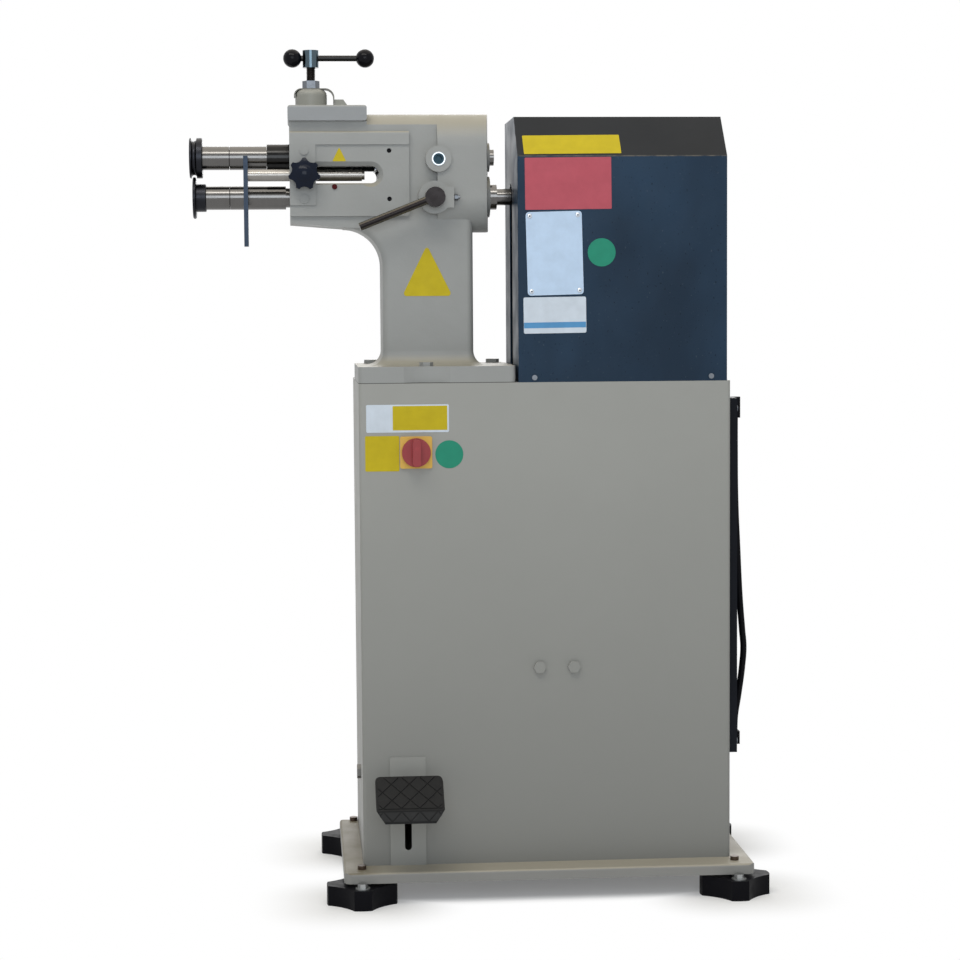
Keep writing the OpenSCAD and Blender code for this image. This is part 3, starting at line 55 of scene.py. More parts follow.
# Lowest and highest corners of the nodes that pieces and tones are placed by
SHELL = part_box("cabinet_shell")
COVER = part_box("drive_cover")
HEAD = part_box("head_frame")
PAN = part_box("base_pan")
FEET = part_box("foot_pads")
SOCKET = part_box("trunnion_screws")

MID_X = middle(SHELL, 0)
FRONT = SHELL[0][1]
PAN_TOP = PAN[1][2]
CAP_TOP = HEAD[1][2] + 0.0005
SPACER_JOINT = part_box("upper_roll")[0][0] + 0.060
LEVER_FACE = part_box("lock_lever")[0][1]

# The hood's front bends back at a height over the pan, and runs and rises from there. In mm.
HOOD_FOLD = 1064
HOOD_RUN, HOOD_RISE = 57, 62


def place(x, y, z):
    """A point in mm from the middle of the cabinet's front, over the base pan."""
    return Vector((MID_X + x * MM, FRONT + y * MM, PAN_TOP + z * MM))


# Nodes of the materials

# Places of the colour sockets on a Mix node
MIX_FACTOR, MIX_A, MIX_B, MIX_COLOR = 0, 6, 7, 2
# Depth of the bumps in paint and plastic
SKIN = 0.0004
M = {}


def material(name):
    """A new material in M: its node tree and its shader."""
    M[name] = bpy.data.materials.new(name)
    M[name].use_nodes = True
    net = M[name].node_tree
    return net, net.nodes["Principled BSDF"]


def add(net, kind, **values):
    """A node with its properties, or its sockets by name, set."""
    node = net.nodes.new(kind)
    for key, value in values.items():
        if hasattr(node, key):
            setattr(node, key, value)
        else:
            node.inputs[key.replace("_", " ")].default_value = value
    return node


def noise(net, scale, detail=4.0, rough=0.55, stretch=None):
    """Noise over the frame's coordinates, drawn out along an axis by stretch."""
    at = add(net, "ShaderNodeTexCoord").outputs["Object"]
    if stretch:
        mapping = add(net, "ShaderNodeMapping", Scale=stretch)
        net.links.new(at, mapping.inputs["Vector"])
        at = mapping.outputs["Vector"]
    texture = add(net, "ShaderNodeTexNoise", Scale=scale, Detail=detail, Roughness=rough)
    net.links.new(at, texture.inputs["Vector"])
    return texture.outputs["Fac"]


def ramp(net, factor, low, high, a=0.3, b=0.7):
    """A colour that goes from low to high between two values of a factor."""
    node = add(net, "ShaderNodeValToRGB")
    for element, at, color in zip(node.color_ramp.elements, (a, b), (low, high)):
        element.position = at
        element.color = (*color, 1.0)
    net.links.new(factor, node.inputs["Fac"])
    return node.outputs["Color"]


def grade(net, factor, low, high, a=0.3, b=0.7, kind="LINEAR"):
    """A number that goes from low to high between two values of a factor."""
    node = add(net, "ShaderNodeMapRange", interpolation_type=kind,
               From_Min=a, From_Max=b, To_Min=low, To_Max=high)
    net.links.new(factor, node.inputs["Value"])
    return node.outputs["Result"]


def blend(net, factor, a, b):
    """Mixes two colours, each a socket or a tuple."""
    node = add(net, "ShaderNodeMix", data_type="RGBA")
    net.links.new(factor, node.inputs[MIX_FACTOR])
    for index, color in ((MIX_A, a), (MIX_B, b)):
        if isinstance(color, tuple):
            node.inputs[index].default_value = (*color, 1.0)
        else:
            net.links.new(color, node.inputs[index])
    return node.outputs[MIX_COLOR]


def bump(net, shader, *layers):
    """Stacks bumps of (height, strength, distance) onto a shader's normal."""
    normal = None
    for height, strength, distance in layers:
        node = add(net, "ShaderNodeBump", Strength=strength, Distance=distance)
        net.links.new(height, node.inputs["Height"])
        if normal:
            net.links.new(normal, node.inputs["Normal"])
        normal = node.outputs["Normal"]
    net.links.new(normal, shader.inputs["Normal"])


def compute(net, operation, a, b):
    """What a Math node makes of two sockets."""
    node = add(net, "ShaderNodeMath", operation=operation)
    net.links.new(a, node.inputs[0])
    net.links.new(b, node.inputs[1])
    return node.outputs[0]


def vector(net, operation, a, b=None):
    """A Vector Math node on a socket and a constant."""
    node = add(net, "ShaderNodeVectorMath", operation=operation)
    net.links.new(a, node.inputs[0])
    if b:
        node.inputs[1].default_value = b
    return node


def component(net, source, axis):
    """One component of a vector socket."""
    split = add(net, "ShaderNodeSeparateXYZ")
    net.links.new(source, split.inputs[0])
    return split.outputs[axis]


def axis_place(net, axis):
    """Where a point is along one of the frame's axes."""
    return component(net, add(net, "ShaderNodeTexCoord").outputs["Object"], axis)


def along_axis(net, axis, low, high):
    """0 before one place on an axis and 1 past another."""
    return grade(net, axis_place(net, axis), 0.0, 1.0, low, high)


def near(net, axis, at, half):
    """1 within half of a place on an axis."""
    node = add(net, "ShaderNodeMath", operation="COMPARE")
    net.links.new(axis_place(net, axis), node.inputs[0])
    node.inputs[1].default_value, node.inputs[2].default_value = at, half
    return node.outputs[0]


def facing_up(net):
    """1 on faces that look up, where dust lies."""
    normal = add(net, "ShaderNodeNewGeometry").outputs["True Normal"]
    return grade(net, component(net, normal, "Z"), 0.0, 1.0, 0.25, 0.70)


def shade(color, k):
    return tuple(min(1.0, c * k) for c in color)


def roughness(net, shader, factor, low, high):
    net.links.new(grade(net, factor, low, high), shader.inputs["Roughness"])


# Kinds of surface

def paint(name, color, rough, vary, peel=0.10, cast=0.0, low=None, high=None, dust=None, side=None):
    """Sprayed paint: slow changes of tone, an orange-peel skin and casting lumps. dust is the tone
    of faces that look up. The others are fades, (from, to, tone): low and high are another tone
    under or over a height, and side is painted shade, a darker tone of those faces before a place
    along x."""
    net, shader = material(name)
    shader.inputs["Specular IOR Level"].default_value = 0.35
    tone = ramp(net, noise(net, 5.0, 3.0), shade(color, 1 - vary), shade(color, 1 + vary))
    specks = grade(net, noise(net, 420.0, 2.0), 0.0, 0.35, 0.72, 0.82)
    tone = blend(net, specks, tone, shade(color, 0.72))
    if low:
        tone = blend(net, along_axis(net, "Z", low[0], low[1]), low[2], tone)
    if high:
        tone = blend(net, along_axis(net, "Z", high[0], high[1]), tone, high[2])
    if dust:
        # side darkens the dust before a place along x: painted shade.
        if side:
            dust = blend(net, along_axis(net, "X", side[0], side[1]), side[2], dust)
        tone = blend(net, facing_up(net), tone, dust)
    net.links.new(tone, shader.inputs["Base Color"])
    roughness(net, shader, noise(net, 30.0), rough - 0.06, rough + 0.07)
    layers = [(noise(net, 700.0, 2.0), peel, SKIN)]
    if cast:
        layers += [(noise(net, 55.0, 4.0), cast, 0.004), (noise(net, 260.0, 3.0), cast, 0.0009)]
    bump(net, shader, *layers)


def navy(name, color, spotted, rough, gloss=0.10, fold_line=None):
    """Dark paint with dried drops on it, a film of dust on faces that look up, and a patchy lighter
    line along a fold at (y, z)."""
    net, shader = material(name)
    shader.inputs["Specular IOR Level"].default_value = gloss
    tone = ramp(net, noise(net, 4.0, 4.0, stretch=(1.0, 1.0, 0.5)),
                shade(color, 0.76), shade(color, 1.30), 0.4, 0.6)
    drops = noise(net, 300.0, 1.0, 0.4, (1.0, 1.0, 0.55))
    spots = grade(net, drops, 0.0, spotted * 0.4, 0.71, 0.77)
    tone = blend(net, spots, tone, (0.20, 0.22, 0.25))
    drops = noise(net, 300.0, 1.0, 0.4, (1.0, 1.0, 0.7))
    dark = grade(net, drops, spotted * 2.6, 0.0, 0.26, 0.31)
    tone = blend(net, dark, tone, shade(color, 0.3))
    fine = grade(net, noise(net, 900.0, 2.0), 0.0, spotted * 0.5, 0.68, 0.76)
    tone = blend(net, fine, tone, (0.10, 0.11, 0.13))
    film = ramp(net, noise(net, 9.0, 5.0), (0.0140, 0.0148, 0.0160), (0.0180, 0.0188, 0.0205))
    tone = blend(net, facing_up(net), tone, film)
    if fold_line:
        y, z = fold_line
        fold = compute(net, "MULTIPLY", near(net, "Y", y, 0.0011), near(net, "Z", z, 0.0009))
        patchy = grade(net, noise(net, 90.0, 4.0), 0.1, 0.9, 0.32, 0.60)
        fold_mark = compute(net, "MULTIPLY", fold, patchy)
        tone = blend(net, fold_mark, tone, (0.105, 0.098, 0.085))
    net.links.new(tone, shader.inputs["Base Color"])
    roughness(net, shader, noise(net, 22.0, 5.0), rough - 0.06, rough + 0.10)
    bump(net, shader, (noise(net, 650.0, 2.0), 0.08, SKIN), (spots, 0.25, SKIN))


TOOL_MARKS = {"x": (1.0, 0.02, 0.02), "z": (0.02, 0.02, 1.0)}


def steel(name, color, rough, along=None, stain=0.12, past=None, joint=None, ring=None):
    """Metal with fine tool marks across one axis and uneven staining. past is another tone past a
    place, (axis, from, to, tone), joint is a dark line across x, (place, half), and ring is
    another tone about an axis along y, (x, z, radius, tone)."""
    net, shader = material(name)
    shader.inputs["Metallic"].default_value = 1.0
    lines = noise(net, 2600.0 if along else 500.0, 2.0, 0.5, TOOL_MARKS.get(along))
    tone = ramp(net, lines, shade(color, 0.94), shade(color, 1.06))
    patches = grade(net, noise(net, 38.0, 5.0, 0.6), 0.0, stain, 0.50, 0.74)
    tone = blend(net, patches, tone, shade(color, 0.60))
    if past:
        axis, start, end, other = past
        tone = blend(net, along_axis(net, axis, start, end), tone, other)
    if joint:
        tone = blend(net, near(net, "X", *joint), tone, shade(color, 0.12))
    if ring:
        x, z, radius, inner = ring
        flat = add(net, "ShaderNodeCombineXYZ")
        for axis in "XZ":
            net.links.new(axis_place(net, axis), flat.inputs[axis])
        span = vector(net, "DISTANCE", flat.outputs[0], (x, 0.0, z)).outputs["Value"]
        outside = grade(net, span, 0.0, 1.0, radius, radius + 0.0006)
        tone = blend(net, outside, inner, tone)
    net.links.new(tone, shader.inputs["Base Color"])
    roughness(net, shader, noise(net, 60.0, 4.0), rough - 0.05, rough + 0.09)
    bump(net, shader, (lines, 0.04, 0.0002))


def moulded(name, color, rough, grain, scale, gloss):
    """Plastic or rubber with a fine moulded grain and faint scuffs."""
    net, shader = material(name)
    shader.inputs["Specular IOR Level"].default_value = gloss
    scuff = grade(net, noise(net, 45.0, 6.0, 0.7), 0.0, 0.5, 0.58, 0.78)
    net.links.new(blend(net, scuff, color, shade(color, 1.7)), shader.inputs["Base Color"])
    roughness(net, shader, noise(net, 70.0), rough - 0.06, rough + 0.10)
    bump(net, shader, (noise(net, scale, 3.0), grain, SKIN))


def sticker(name, color):
    """Printed film, faintly mottled."""
    net, shader = material(name)
    shader.inputs["Specular IOR Level"].default_value = 0.12
    tone = ramp(net, noise(net, 60.0, 4.0), shade(color, 0.94), shade(color, 1.04))
    net.links.new(tone, shader.inputs["Base Color"])
    roughness(net, shader, noise(net, 35.0), 0.34, 0.46)
    bump(net, shader, (noise(net, 120.0, 2.0), 0.05, 0.0005))


GREY = (0.290, 0.291, 0.272)
# The boss's lighter, warmer tone: painted warm light from above.
WARM = (0.262, 0.262, 0.234)

# The cabinet's paint grows darker towards the bottom, below 0.70 m: painted shade.
paint("cabinet_paint", GREY, 0.46, 0.02, low=(0.05, 0.70, shade(GREY, 0.73)))
# The pan's tops carry dust, and on the left, by the cabinet's side, a darker tone: painted shade.
paint("pan_paint", (0.228, 0.225, 0.212), 0.46, 0.03, dust=(0.335, 0.308, 0.248),
      side=(SHELL[0][0] - 0.004, SHELL[0][0] + 0.030, (0.152, 0.134, 0.092)))
paint("casting_paint", (0.270, 0.275, 0.267), 0.48, 0.04, 0.12, cast=0.12,
      low=(HEAD[0][2] + 0.0006, HEAD[0][2] + 0.0014, (0.045, 0.043, 0.038)),
      dust=(0.285, 0.270, 0.222))
paint("guard_paint", shade(GREY, 0.93), 0.46, 0.02)
# The boss over the cap is lighter and warmer than the cap: painted warm light from above.
paint("cap_paint", (0.236, 0.246, 0.253), 0.44, 0.04, 0.12, cast=0.08,
      high=(CAP_TOP + 0.008, CAP_TOP + 0.012, WARM))
paint("strap_paint", (0.150, 0.147, 0.126), 0.46, 0.04)
paint("motor_paint", (0.10, 0.16, 0.22), 0.45, 0.05, 0.12, cast=0.10)

navy("navy_paint", (0.015, 0.032, 0.058), 0.26, 0.38, fold_line=(COVER[0][1], PAN_TOP + HOOD_FOLD * MM))
navy("panel_paint", (0.006, 0.007, 0.010), 0.05, 0.36, 0.07)

moulded("black_plastic", (0.0035, 0.0035, 0.005), 0.42, 0.10, 900.0, 0.06)
moulded("black_gloss", (0.003, 0.003, 0.005), 0.14, 0.02, 400.0, 0.10)
moulded("knob_plastic", (0.0042, 0.0074, 0.0172), 0.16, 0.03, 700.0, 0.13)
moulded("pad_rubber", (0.015, 0.015, 0.015), 0.55, 0.25, 600.0, 0.12)
# The lip's rubber is the pad's rubber made lighter: painted light on the lip that faces forward.
moulded("lit_lip_rubber", (0.028, 0.028, 0.028), 0.55, 0.25, 600.0, 0.12)
moulded("red_plastic", (0.27, 0.036, 0.040), 0.36, 0.05, 900.0, 0.3)
moulded("oil_plastic", (0.050, 0.0015, 0.003), 0.36, 0.05, 900.0, 0.06)
moulded("yellow_plastic", (0.63, 0.385, 0.070), 0.40, 0.05, 900.0, 0.3)
moulded("box_plastic", (0.42, 0.42, 0.40), 0.50, 0.10, 900.0, 0.3)

steel("turned_steel", (0.119, 0.116, 0.113), 0.12, "x", 0.10, joint=(SPACER_JOINT, 0.0006))
steel("rod_steel", (0.245, 0.235, 0.220), 0.27, "x", 0.10)
steel("zinc_steel", (0.150, 0.163, 0.182), 0.42, stain=0.20)
steel("rivet_steel", (0.56, 0.60, 0.65), 0.40, stain=0.20)
steel("nut_steel", (0.20, 0.20, 0.195), 0.30, stain=0.35)
steel("hub_steel", (0.075, 0.105, 0.125), 0.12, stain=0.10)
steel("coupling_steel", (0.17, 0.16, 0.145), 0.22, "x", 0.30)
# The middle of each trunnion screw, round and in its hex socket, is dark: painted shade in the
# socket.
steel("socket_steel", (0.40, 0.43, 0.45), 0.22, stain=0.10,
      ring=(middle(SOCKET, 0), middle(SOCKET, 2), 0.0080, (0.012, 0.022, 0.028)))
steel("dark_steel", (0.020, 0.020, 0.020), 0.16, "x", 0.30)
steel("rocker_steel", (0.020, 0.020, 0.020), 0.16, "x", 0.30,
      past=("X", HEAD[0][0] + 0.004, HEAD[0][0] + 0.006, (0.075, 0.085, 0.100)))
steel("black_roll", (0.021, 0.022, 0.026), 0.32, "x", 0.30)
steel("screw_steel", (0.028, 0.025, 0.024), 0.34, "z", 0.30)
# The lever's front face keeps the dark tone and the rest of the same steel is lighter: painted
# shade on the face.
steel("lever_steel", (0.017, 0.015, 0.015), 0.25, stain=0.20,
      past=("Y", LEVER_FACE + 0.0008, LEVER_FACE + 0.0020, (0.130, 0.120, 0.096)))
steel("stop_steel", (0.026, 0.034, 0.048), 0.34, "z", 0.20)
steel("bolt_steel", (0.32, 0.33, 0.33), 0.36, stain=0.40,
      past=("Z", 0.043, 0.046, (0.085, 0.062, 0.048)))
steel("bronze", (0.52, 0.36, 0.16), 0.30, "x")

sticker("yellow_film", (0.49, 0.385, 0.013))
sticker("red_film", (0.43, 0.085, 0.112))
sticker("white_film", (0.57, 0.63, 0.70))
sticker("blue_film", (0.09, 0.27, 0.50))
sticker("green_film", (0.022, 0.235, 0.150))
sticker("silver_plate", (0.49, 0.62, 0.79))

LOOKS = {
    "black_plastic": ["foot_pads", "lead_glands", "side_lead", "cable_inlet", "switch_body",
                      "pedal_switch"],
    "bolt_steel": ["foot_bolts"],
    "pan_paint": ["base_pan"],
    "cabinet_paint": ["cabinet_shell", "cabinet_top", "back_panel", "front_bolts"],
    "casting_paint": ["head_frame", "flange_bolts", "gauge_bracket", "gauge_screws"],
    "rocker_steel": ["rocker"],
    "guard_paint": ["pedal_guard"],
    "cap_paint": ["top_cap"],
    "strap_paint": ["screw_strap"],
    "navy_paint": ["drive_cover"],
    "panel_paint": ["side_panel"],
    "nut_steel": ["pedal_pivot"],
    "zinc_steel": ["panel_screws", "pedal_bracket", "pedal_spring", "cap_screws", "screw_nut",
                   "lever_screw", "motor_stand", "thrust_foot"],
    "hub_steel": ["handle_hub"],
    "coupling_steel": ["drive_coupling"],
    "socket_steel": ["trunnion_screws"],
    "box_plastic": ["control_box"],
    "yellow_plastic": ["switch_plate"],
    "red_plastic": ["switch_knob"],
    "oil_plastic": ["oil_point"],
    "dark_steel": ["pedal_arm", "tommy_bar", "upper_roll_screw", "lower_roll_screw", "upper_gear",
                   "lower_gear"],
    "screw_steel": ["pressure_screw"],
    "black_roll": ["upper_roll", "lower_roll"],
    "lever_steel": ["lock_lever"],
    "pad_rubber": ["pedal_pad"],
    "black_gloss": ["ball_knobs"],
    "knob_plastic": ["star_knob"],
    "bronze": ["rocker_bushes", "lower_bushes"],
    "turned_steel": ["upper_shaft", "upper_spacers", "lower_shaft", "lower_spacers"],
    "rod_steel": ["gauge_rod"],
    "stop_steel": ["gauge_stop"],
    "motor_paint": ["gear_motor"],
}
for look, names in LOOKS.items():
    for name in names:
        for material_slot in NODES[name].material_slots:
            material_slot.material = M[look]

# Broken edges: width in mm of the rounding on each node
EDGES = {
    "cabinet_shell": 1.2, "drive_cover": 1.5, "side_panel": 2.0, "pedal_guard": 0.6,
    "head_frame": 1.6, "top_cap": 1.2, "foot_pads": 2.5, "gauge_bracket": 1.0, "gauge_stop": 0.8,
    "star_knob": 1.4, "switch_knob": 1.4, "switch_plate": 0.8, "handle_hub": 1.0,
    "upper_roll": 0.5, "lower_roll": 0.5, "gauge_rod": 0.8, "lock_lever": 1.2,
    "pedal_pad": 2.0, "pedal_arm": 0.8, "front_bolts": 0.4, "flange_bolts": 0.8,
    "foot_bolts": 0.7, "screw_nut": 0.8, "lever_screw": 0.4, "trunnion_screws": 0.8,
    "lower_shaft": 0.6, "upper_shaft": 0.8, "rocker": 1.0, "lead_glands": 1.5,
    "cable_inlet": 0.8, "panel_screws": 0.5, "cap_screws": 0.5, "screw_strap": 0.3,
    "gauge_screws": 0.6, "tommy_bar": 0.5,
}
for name, width in EDGES.items():
    edge = NODES[name].modifiers.new("edge", "BEVEL")
    edge.width = width * MM
    edge.segments = 3
    edge.limit_method = "ANGLE"
    edge.angle_limit = math.radians(40)


# Pieces

def piece(name, verts, faces, body, look, slot, smooth=False):
    """A mesh in the frame's place that moves with a body."""
    mesh = bpy.data.meshes.new(name)
    mesh.from_pydata([tuple(v) for v in verts], [], faces)
    mesh.validate()
    for poly in mesh.polygons:
        poly.use_smooth = smooth
    mesh.materials.append(M[look])
    obj = bpy.data.objects.new(name, mesh)
    SCENE.collection.objects.link(obj)
    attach(obj, body)
    return obj


def on_front(x, z, y=0.0):
    """Flat frame on an upright front face: u to the right, v up, w out of the face."""
    frame_at = Matrix(((1, 0, 0), (0, 0, -1), (0, 1, 0))).to_4x4()
    frame_at.translation = place(x, y, z)
    return frame_at


def turned(degrees):
    """A turn within a flat frame."""
    return Matrix.Rotation(math.radians(degrees), 4, "Z")


def circle(r, sides):
    """Points of a circle about the origin."""
    return [(r * math.cos(math.tau * k / sides), r * math.sin(math.tau * k / sides))
            for k in range(sides)]


def rounded(w, h, r, steps=5):
    """Outline of a rectangle with round corners, in mm about its middle."""
    out = []
    for cx, cy, start in ((w / 2 - r, h / 2 - r, 0), (r - w / 2, h / 2 - r, 90),
                          (r - w / 2, r - h / 2, 180), (w / 2 - r, r - h / 2, 270)):
        for k in range(steps + 1):
            a = math.radians(start + 90 * k / steps)
            out.append((cx + r * math.cos(a), cy + r * math.sin(a)))
    return out


def quads(rings, sides, base=0):
    """Faces between rings of points that follow one another."""
    faces = []
    for level in range(rings - 1):
        for k in range(sides):
            a = base + level * sides + k
            b = base + level * sides + (k + 1) % sides
            faces.append((a, b, b + sides, a + sides))
    return faces


def slab(outline, t, edge, at):
    """Points and faces of a thin slab on a flat frame, with its top edge broken. Sizes in mm."""
    n = len(outline)
    cx = sum(u for u, v in outline) / n
    cy = sum(v for u, v in outline) / n
    verts = []
    for inset, w in ((0.0, 0.0), (0.0, t - edge), (edge, t)):
        for u, v in outline:
            k = 1 - inset / max(math.hypot(u - cx, v - cy), 1e-6)
            verts.append(at @ (Vector((cx + (u - cx) * k, cy + (v - cy) * k, w)) * MM))
    faces = quads(3, n)
    faces.append(tuple(range(2 * n, 3 * n)))
    faces.append(tuple(reversed(range(n))))
    return verts, faces


def dome(verts, faces, at, r, h, rings=4, sides=16):
    """Adds a low dome on a flat frame to a mesh. Sizes in mm."""
    base = len(verts)
    for i in range(rings):
        a = math.pi / 2 * i / rings
        verts += [at @ (Vector((u, v, h * math.sin(a))) * MM)
                  for u, v in circle(r * math.cos(a), sides)]
    top = len(verts)
    verts.append(at @ Vector((0, 0, h * MM)))
    faces += quads(rings, sides, base)
    last = base + (rings - 1) * sides
    for k in range(sides):
        faces.append((last + k, last + (k + 1) % sides, top))
    faces.append(tuple(reversed(range(base, base + sides))))


# Thickness of a film, of a stripe on it, and the width of their broken edge, in mm
FILM, STRIPE, FILM_EDGE = 0.35, 0.12, 0.12
DISC_SIDES, DISC_R = 48, 21


def plate(name, box, look, slot, t=FILM, r=2.0, y=0.0, turn=0.0):
    """A plate or film with round corners on an upright face. box is (x0, x1, z0, z1)."""
    x0, x1, z0, z1 = box
    at = on_front((x0 + x1) / 2, (z0 + z1) / 2, y) @ turned(turn)
    return piece(name, *slab(rounded(x1 - x0, z1 - z0, r), t, FILM_EDGE, at), "base", look, slot)


def disc(name, x, z, r, look, slot, t=FILM, y=0.0):
    """A round film on an upright face."""
    outline = circle(r, DISC_SIDES)
    return piece(name, *slab(outline, t, FILM_EDGE, on_front(x, z, y)), "base", look, slot)


# Bare films on the cabinet
plate("cabinet_film_white", (-269, -145.5, 655, 696.5), "white_film", "box_plastic")
plate("cabinet_film_yellow", (-229.5, -148, 658.2, 694.5), "yellow_film", "yellow_plastic",
      t=STRIPE, r=0.6, y=-FILM)
plate("switch_film", (-271, -220, 597, 650), "yellow_film", "yellow_plastic")
disc("cabinet_disc", -145.3, 621.6, DISC_R, "green_film", "yellow_plastic")

# Bare plate and films on the drive cover
plate("cover_film_red", (-29.5, 100, 985, 1062), "red_film", "red_plastic", r=1.5, turn=0.5)
plate("cover_film_pale", (-32.5, 61.5, 801, 855), "white_film", "box_plastic", r=2.5, turn=0.6)
plate("cover_film_blue", (-32.0, 61.0, 809, 817.5), "blue_film", "box_plastic",
      t=STRIPE, r=0.4, y=-FILM, turn=0.6)
disc("cover_disc", 85, 921, DISC_R, "green_film", "yellow_plastic")

# The plate's middle, half its width and height, and its rivets' places about the middle
PLATE_X, PLATE_Z, PLATE_U, PLATE_V = 14.5, 920, 42, 62
RIVET_U, RIVET_V = 36.0, 56.0
PLATE_T, PLATE_TURN = 0.8, 1.3
PLATE_BOX = (PLATE_X - PLATE_U, PLATE_X + PLATE_U, PLATE_Z - PLATE_V, PLATE_Z + PLATE_V)
plate("bare_plate", PLATE_BOX, "silver_plate", "zinc_steel", t=PLATE_T, r=5.0, turn=PLATE_TURN)
on_plate = on_front(PLATE_X, PLATE_Z, -PLATE_T) @ turned(PLATE_TURN)
for name, lift, r, h, look in (("plate_rivets", 0.0, 3.7, 1.2, "rivet_steel"),
                               ("rivet_cores", 1.0, 1.3, 0.4, "dark_steel")):
    verts, faces = [], []
    for u in (-RIVET_U, RIVET_U):
        for v in (-RIVET_V, RIVET_V):
            dome(verts, faces, on_plate @ Matrix.Translation(Vector((u, v, lift)) * MM), r, h)
    piece(name, verts, faces, "base", look, "zinc_steel", True)

# Dark discs down in the two small holes of the head's pad, painted shade in the holes, placed along
# the head, over or under the middle of a shaft, and behind the cabinet's front
HOLE_ALONG, HOLE_SHADE_BACK, HOLE_SHADE_R, HOLE_SHADE_T = 149, 51.0, 3.3, 1.2
for name, shaft, up in (("hole_shade_upper", "upper_shaft", 7.0),
                        ("hole_shade_lower", "lower_shaft", -5.0)):
    x = (HEAD[0][0] - MID_X) / MM + HOLE_ALONG
    z = (middle(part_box(shaft), 2) - PAN_TOP) / MM + up
    disc(name, x, z, HOLE_SHADE_R, "black_plastic", "dark_steel", t=HOLE_SHADE_T, y=HOLE_SHADE_BACK)

# Film on the slanted front of the cover: its middle along x and behind the fold, and its size
SLANT_X, SLANT_BACK, SLANT_W, SLANT_H = 42.4, 16.5, 146, 39.5
slope = Vector((0, HOOD_RUN, HOOD_RISE)).normalized()
on_slant = Matrix(((1, 0, 0), (0, slope.y, -slope.z), (0, slope.z, slope.y))).to_4x4()
on_slant.translation = place(SLANT_X, SLANT_BACK, HOOD_FOLD + SLANT_BACK * HOOD_RISE / HOOD_RUN)
on_slant = on_slant @ turned(0.6)
piece("cover_film_yellow", *slab(rounded(SLANT_W, SLANT_H, 1.5), FILM, FILM_EDGE, on_slant),
      "base", "yellow_film", "yellow_plastic")


# Plain three-cornered films on the faces of the column and the head's pad, which lie so far behind
# the cabinet's front. A corner's radius is a share of the triangle's own.
COLUMN_BACK, PAD_BACK = 52.0, 47.5
CORNER = 0.10


def corner_film(name, x, z, w, h, y):
    """A triangle with round corners, w wide and h high about its middle."""
    points = []
    for k in range(3):
        turn = math.radians(90 + 120 * k)
        for i in range(7):
            a = turn + math.radians(-60 + 20 * i)
            points.append((math.cos(turn) + CORNER * math.cos(a),
                           math.sin(turn) + CORNER * math.sin(a)))
    u0, u1 = min(u for u, v in points), max(u for u, v in points)
    v0, v1 = min(v for u, v in points), max(v for u, v in points)
    outline = [((u - (u0 + u1) / 2) * w / (u1 - u0), (v - (v0 + v1) / 2) * h / (v1 - v0))
               for u, v in points]
    return piece(name, *slab(outline, FILM, FILM_EDGE, on_front(x, z, y)),
                 "base", "yellow_film", "yellow_plastic")


corner_film("column_film", -173.3, 894, 70.5, 72.5, COLUMN_BACK)
corner_film("head_film", -303.7, 1069.5, 19.5, 19.8, PAD_BACK)


# Tread of the pedal: raised diamonds on the slope and on the lip. Sizes in mm. Offcuts under the
# least area are left out.
PEDAL_X = -212
TREAD_HALF_W, TREAD_EDGE, GROOVE = 13.5, 0.5, 0.9
ROWS, COLUMNS = range(-9, 7), range(-6, 7)
LEAST_AREA = 8.0
DIAGONAL = 0.7071


def clip(poly, a, b, c):
    """The part of a polygon where a*u + b*v <= c."""
    out = []
    for i, p in enumerate(poly):
        q = poly[(i + 1) % len(poly)]
        dp, dq = a * p[0] + b * p[1] - c, a * q[0] + b * q[1] - c
        if dp <= 0:
            out.append(p)
        if dp * dq < 0:
            t = dp / (dp - dq)
            out.append((p[0] + t * (q[0] - p[0]), p[1] + t * (q[1] - p[1])))
    return out


def area_of(poly):
    """Area of a polygon that runs counter-clockwise."""
    following = poly[1:] + poly[:1]
    return sum(p[0] * q[1] - p[1] * q[0] for p, q in zip(poly, following)) / 2


def tread_edges(half, top, bottom, up, corner):
    """Limits of a tread: both sides, top, bottom, and two cut corners, above or below by up."""
    return ((1, 0, half), (-1, 0, half), (0, 1, top), (0, -1, bottom),
            (DIAGONAL, up * DIAGONAL, corner), (-DIAGONAL, up * DIAGONAL, corner))


def tread(name, at, half_l, start, t, edges, look):
    """Raised diamonds with narrow grooves between them, cut to an outline. Sizes in mm."""
    verts, faces = [], []
    k = 1 - GROOVE / half_l
    du, dv = TREAD_HALF_W * k, half_l * k
    for row in ROWS:
        for column in COLUMNS:
            u, v = (column + (row % 2) / 2) * 2 * TREAD_HALF_W, start + row * half_l
            cell = [(u + du, v), (u, v + dv), (u - du, v), (u, v - dv)]
            for limit in edges:
                cell = clip(cell, *limit)
            if len(cell) > 2 and area_of(cell) > LEAST_AREA:
                more, sides = slab(cell, t, TREAD_EDGE, at)
                faces += [tuple(i + len(verts) for i in side) for side in sides]
                verts += more
    return piece(name, verts, faces, "pedal", look, "pad_rubber")


tilt = math.radians(38)
on_tread = Matrix(((1, 0, 0), (0, math.cos(tilt), -math.sin(tilt)),
                   (0, math.sin(tilt), math.cos(tilt)))).to_4x4()
on_tread.translation = place(PEDAL_X, -36, 143)
tread("pedal_tread", on_tread, 15.5, -63.0, 1.3,
      tread_edges(47.5, -3.0, 63.0, 1, 28.5), "pad_rubber")
# The lip's diamonds take the lighter rubber: painted light.
tread("pedal_lip_tread", on_front(PEDAL_X, 101.0, -88.0), 15.0, 0.0, 0.9,
      tread_edges(46.5, -0.8, 15.0, -1, 37.5), "lit_lip_rubber")

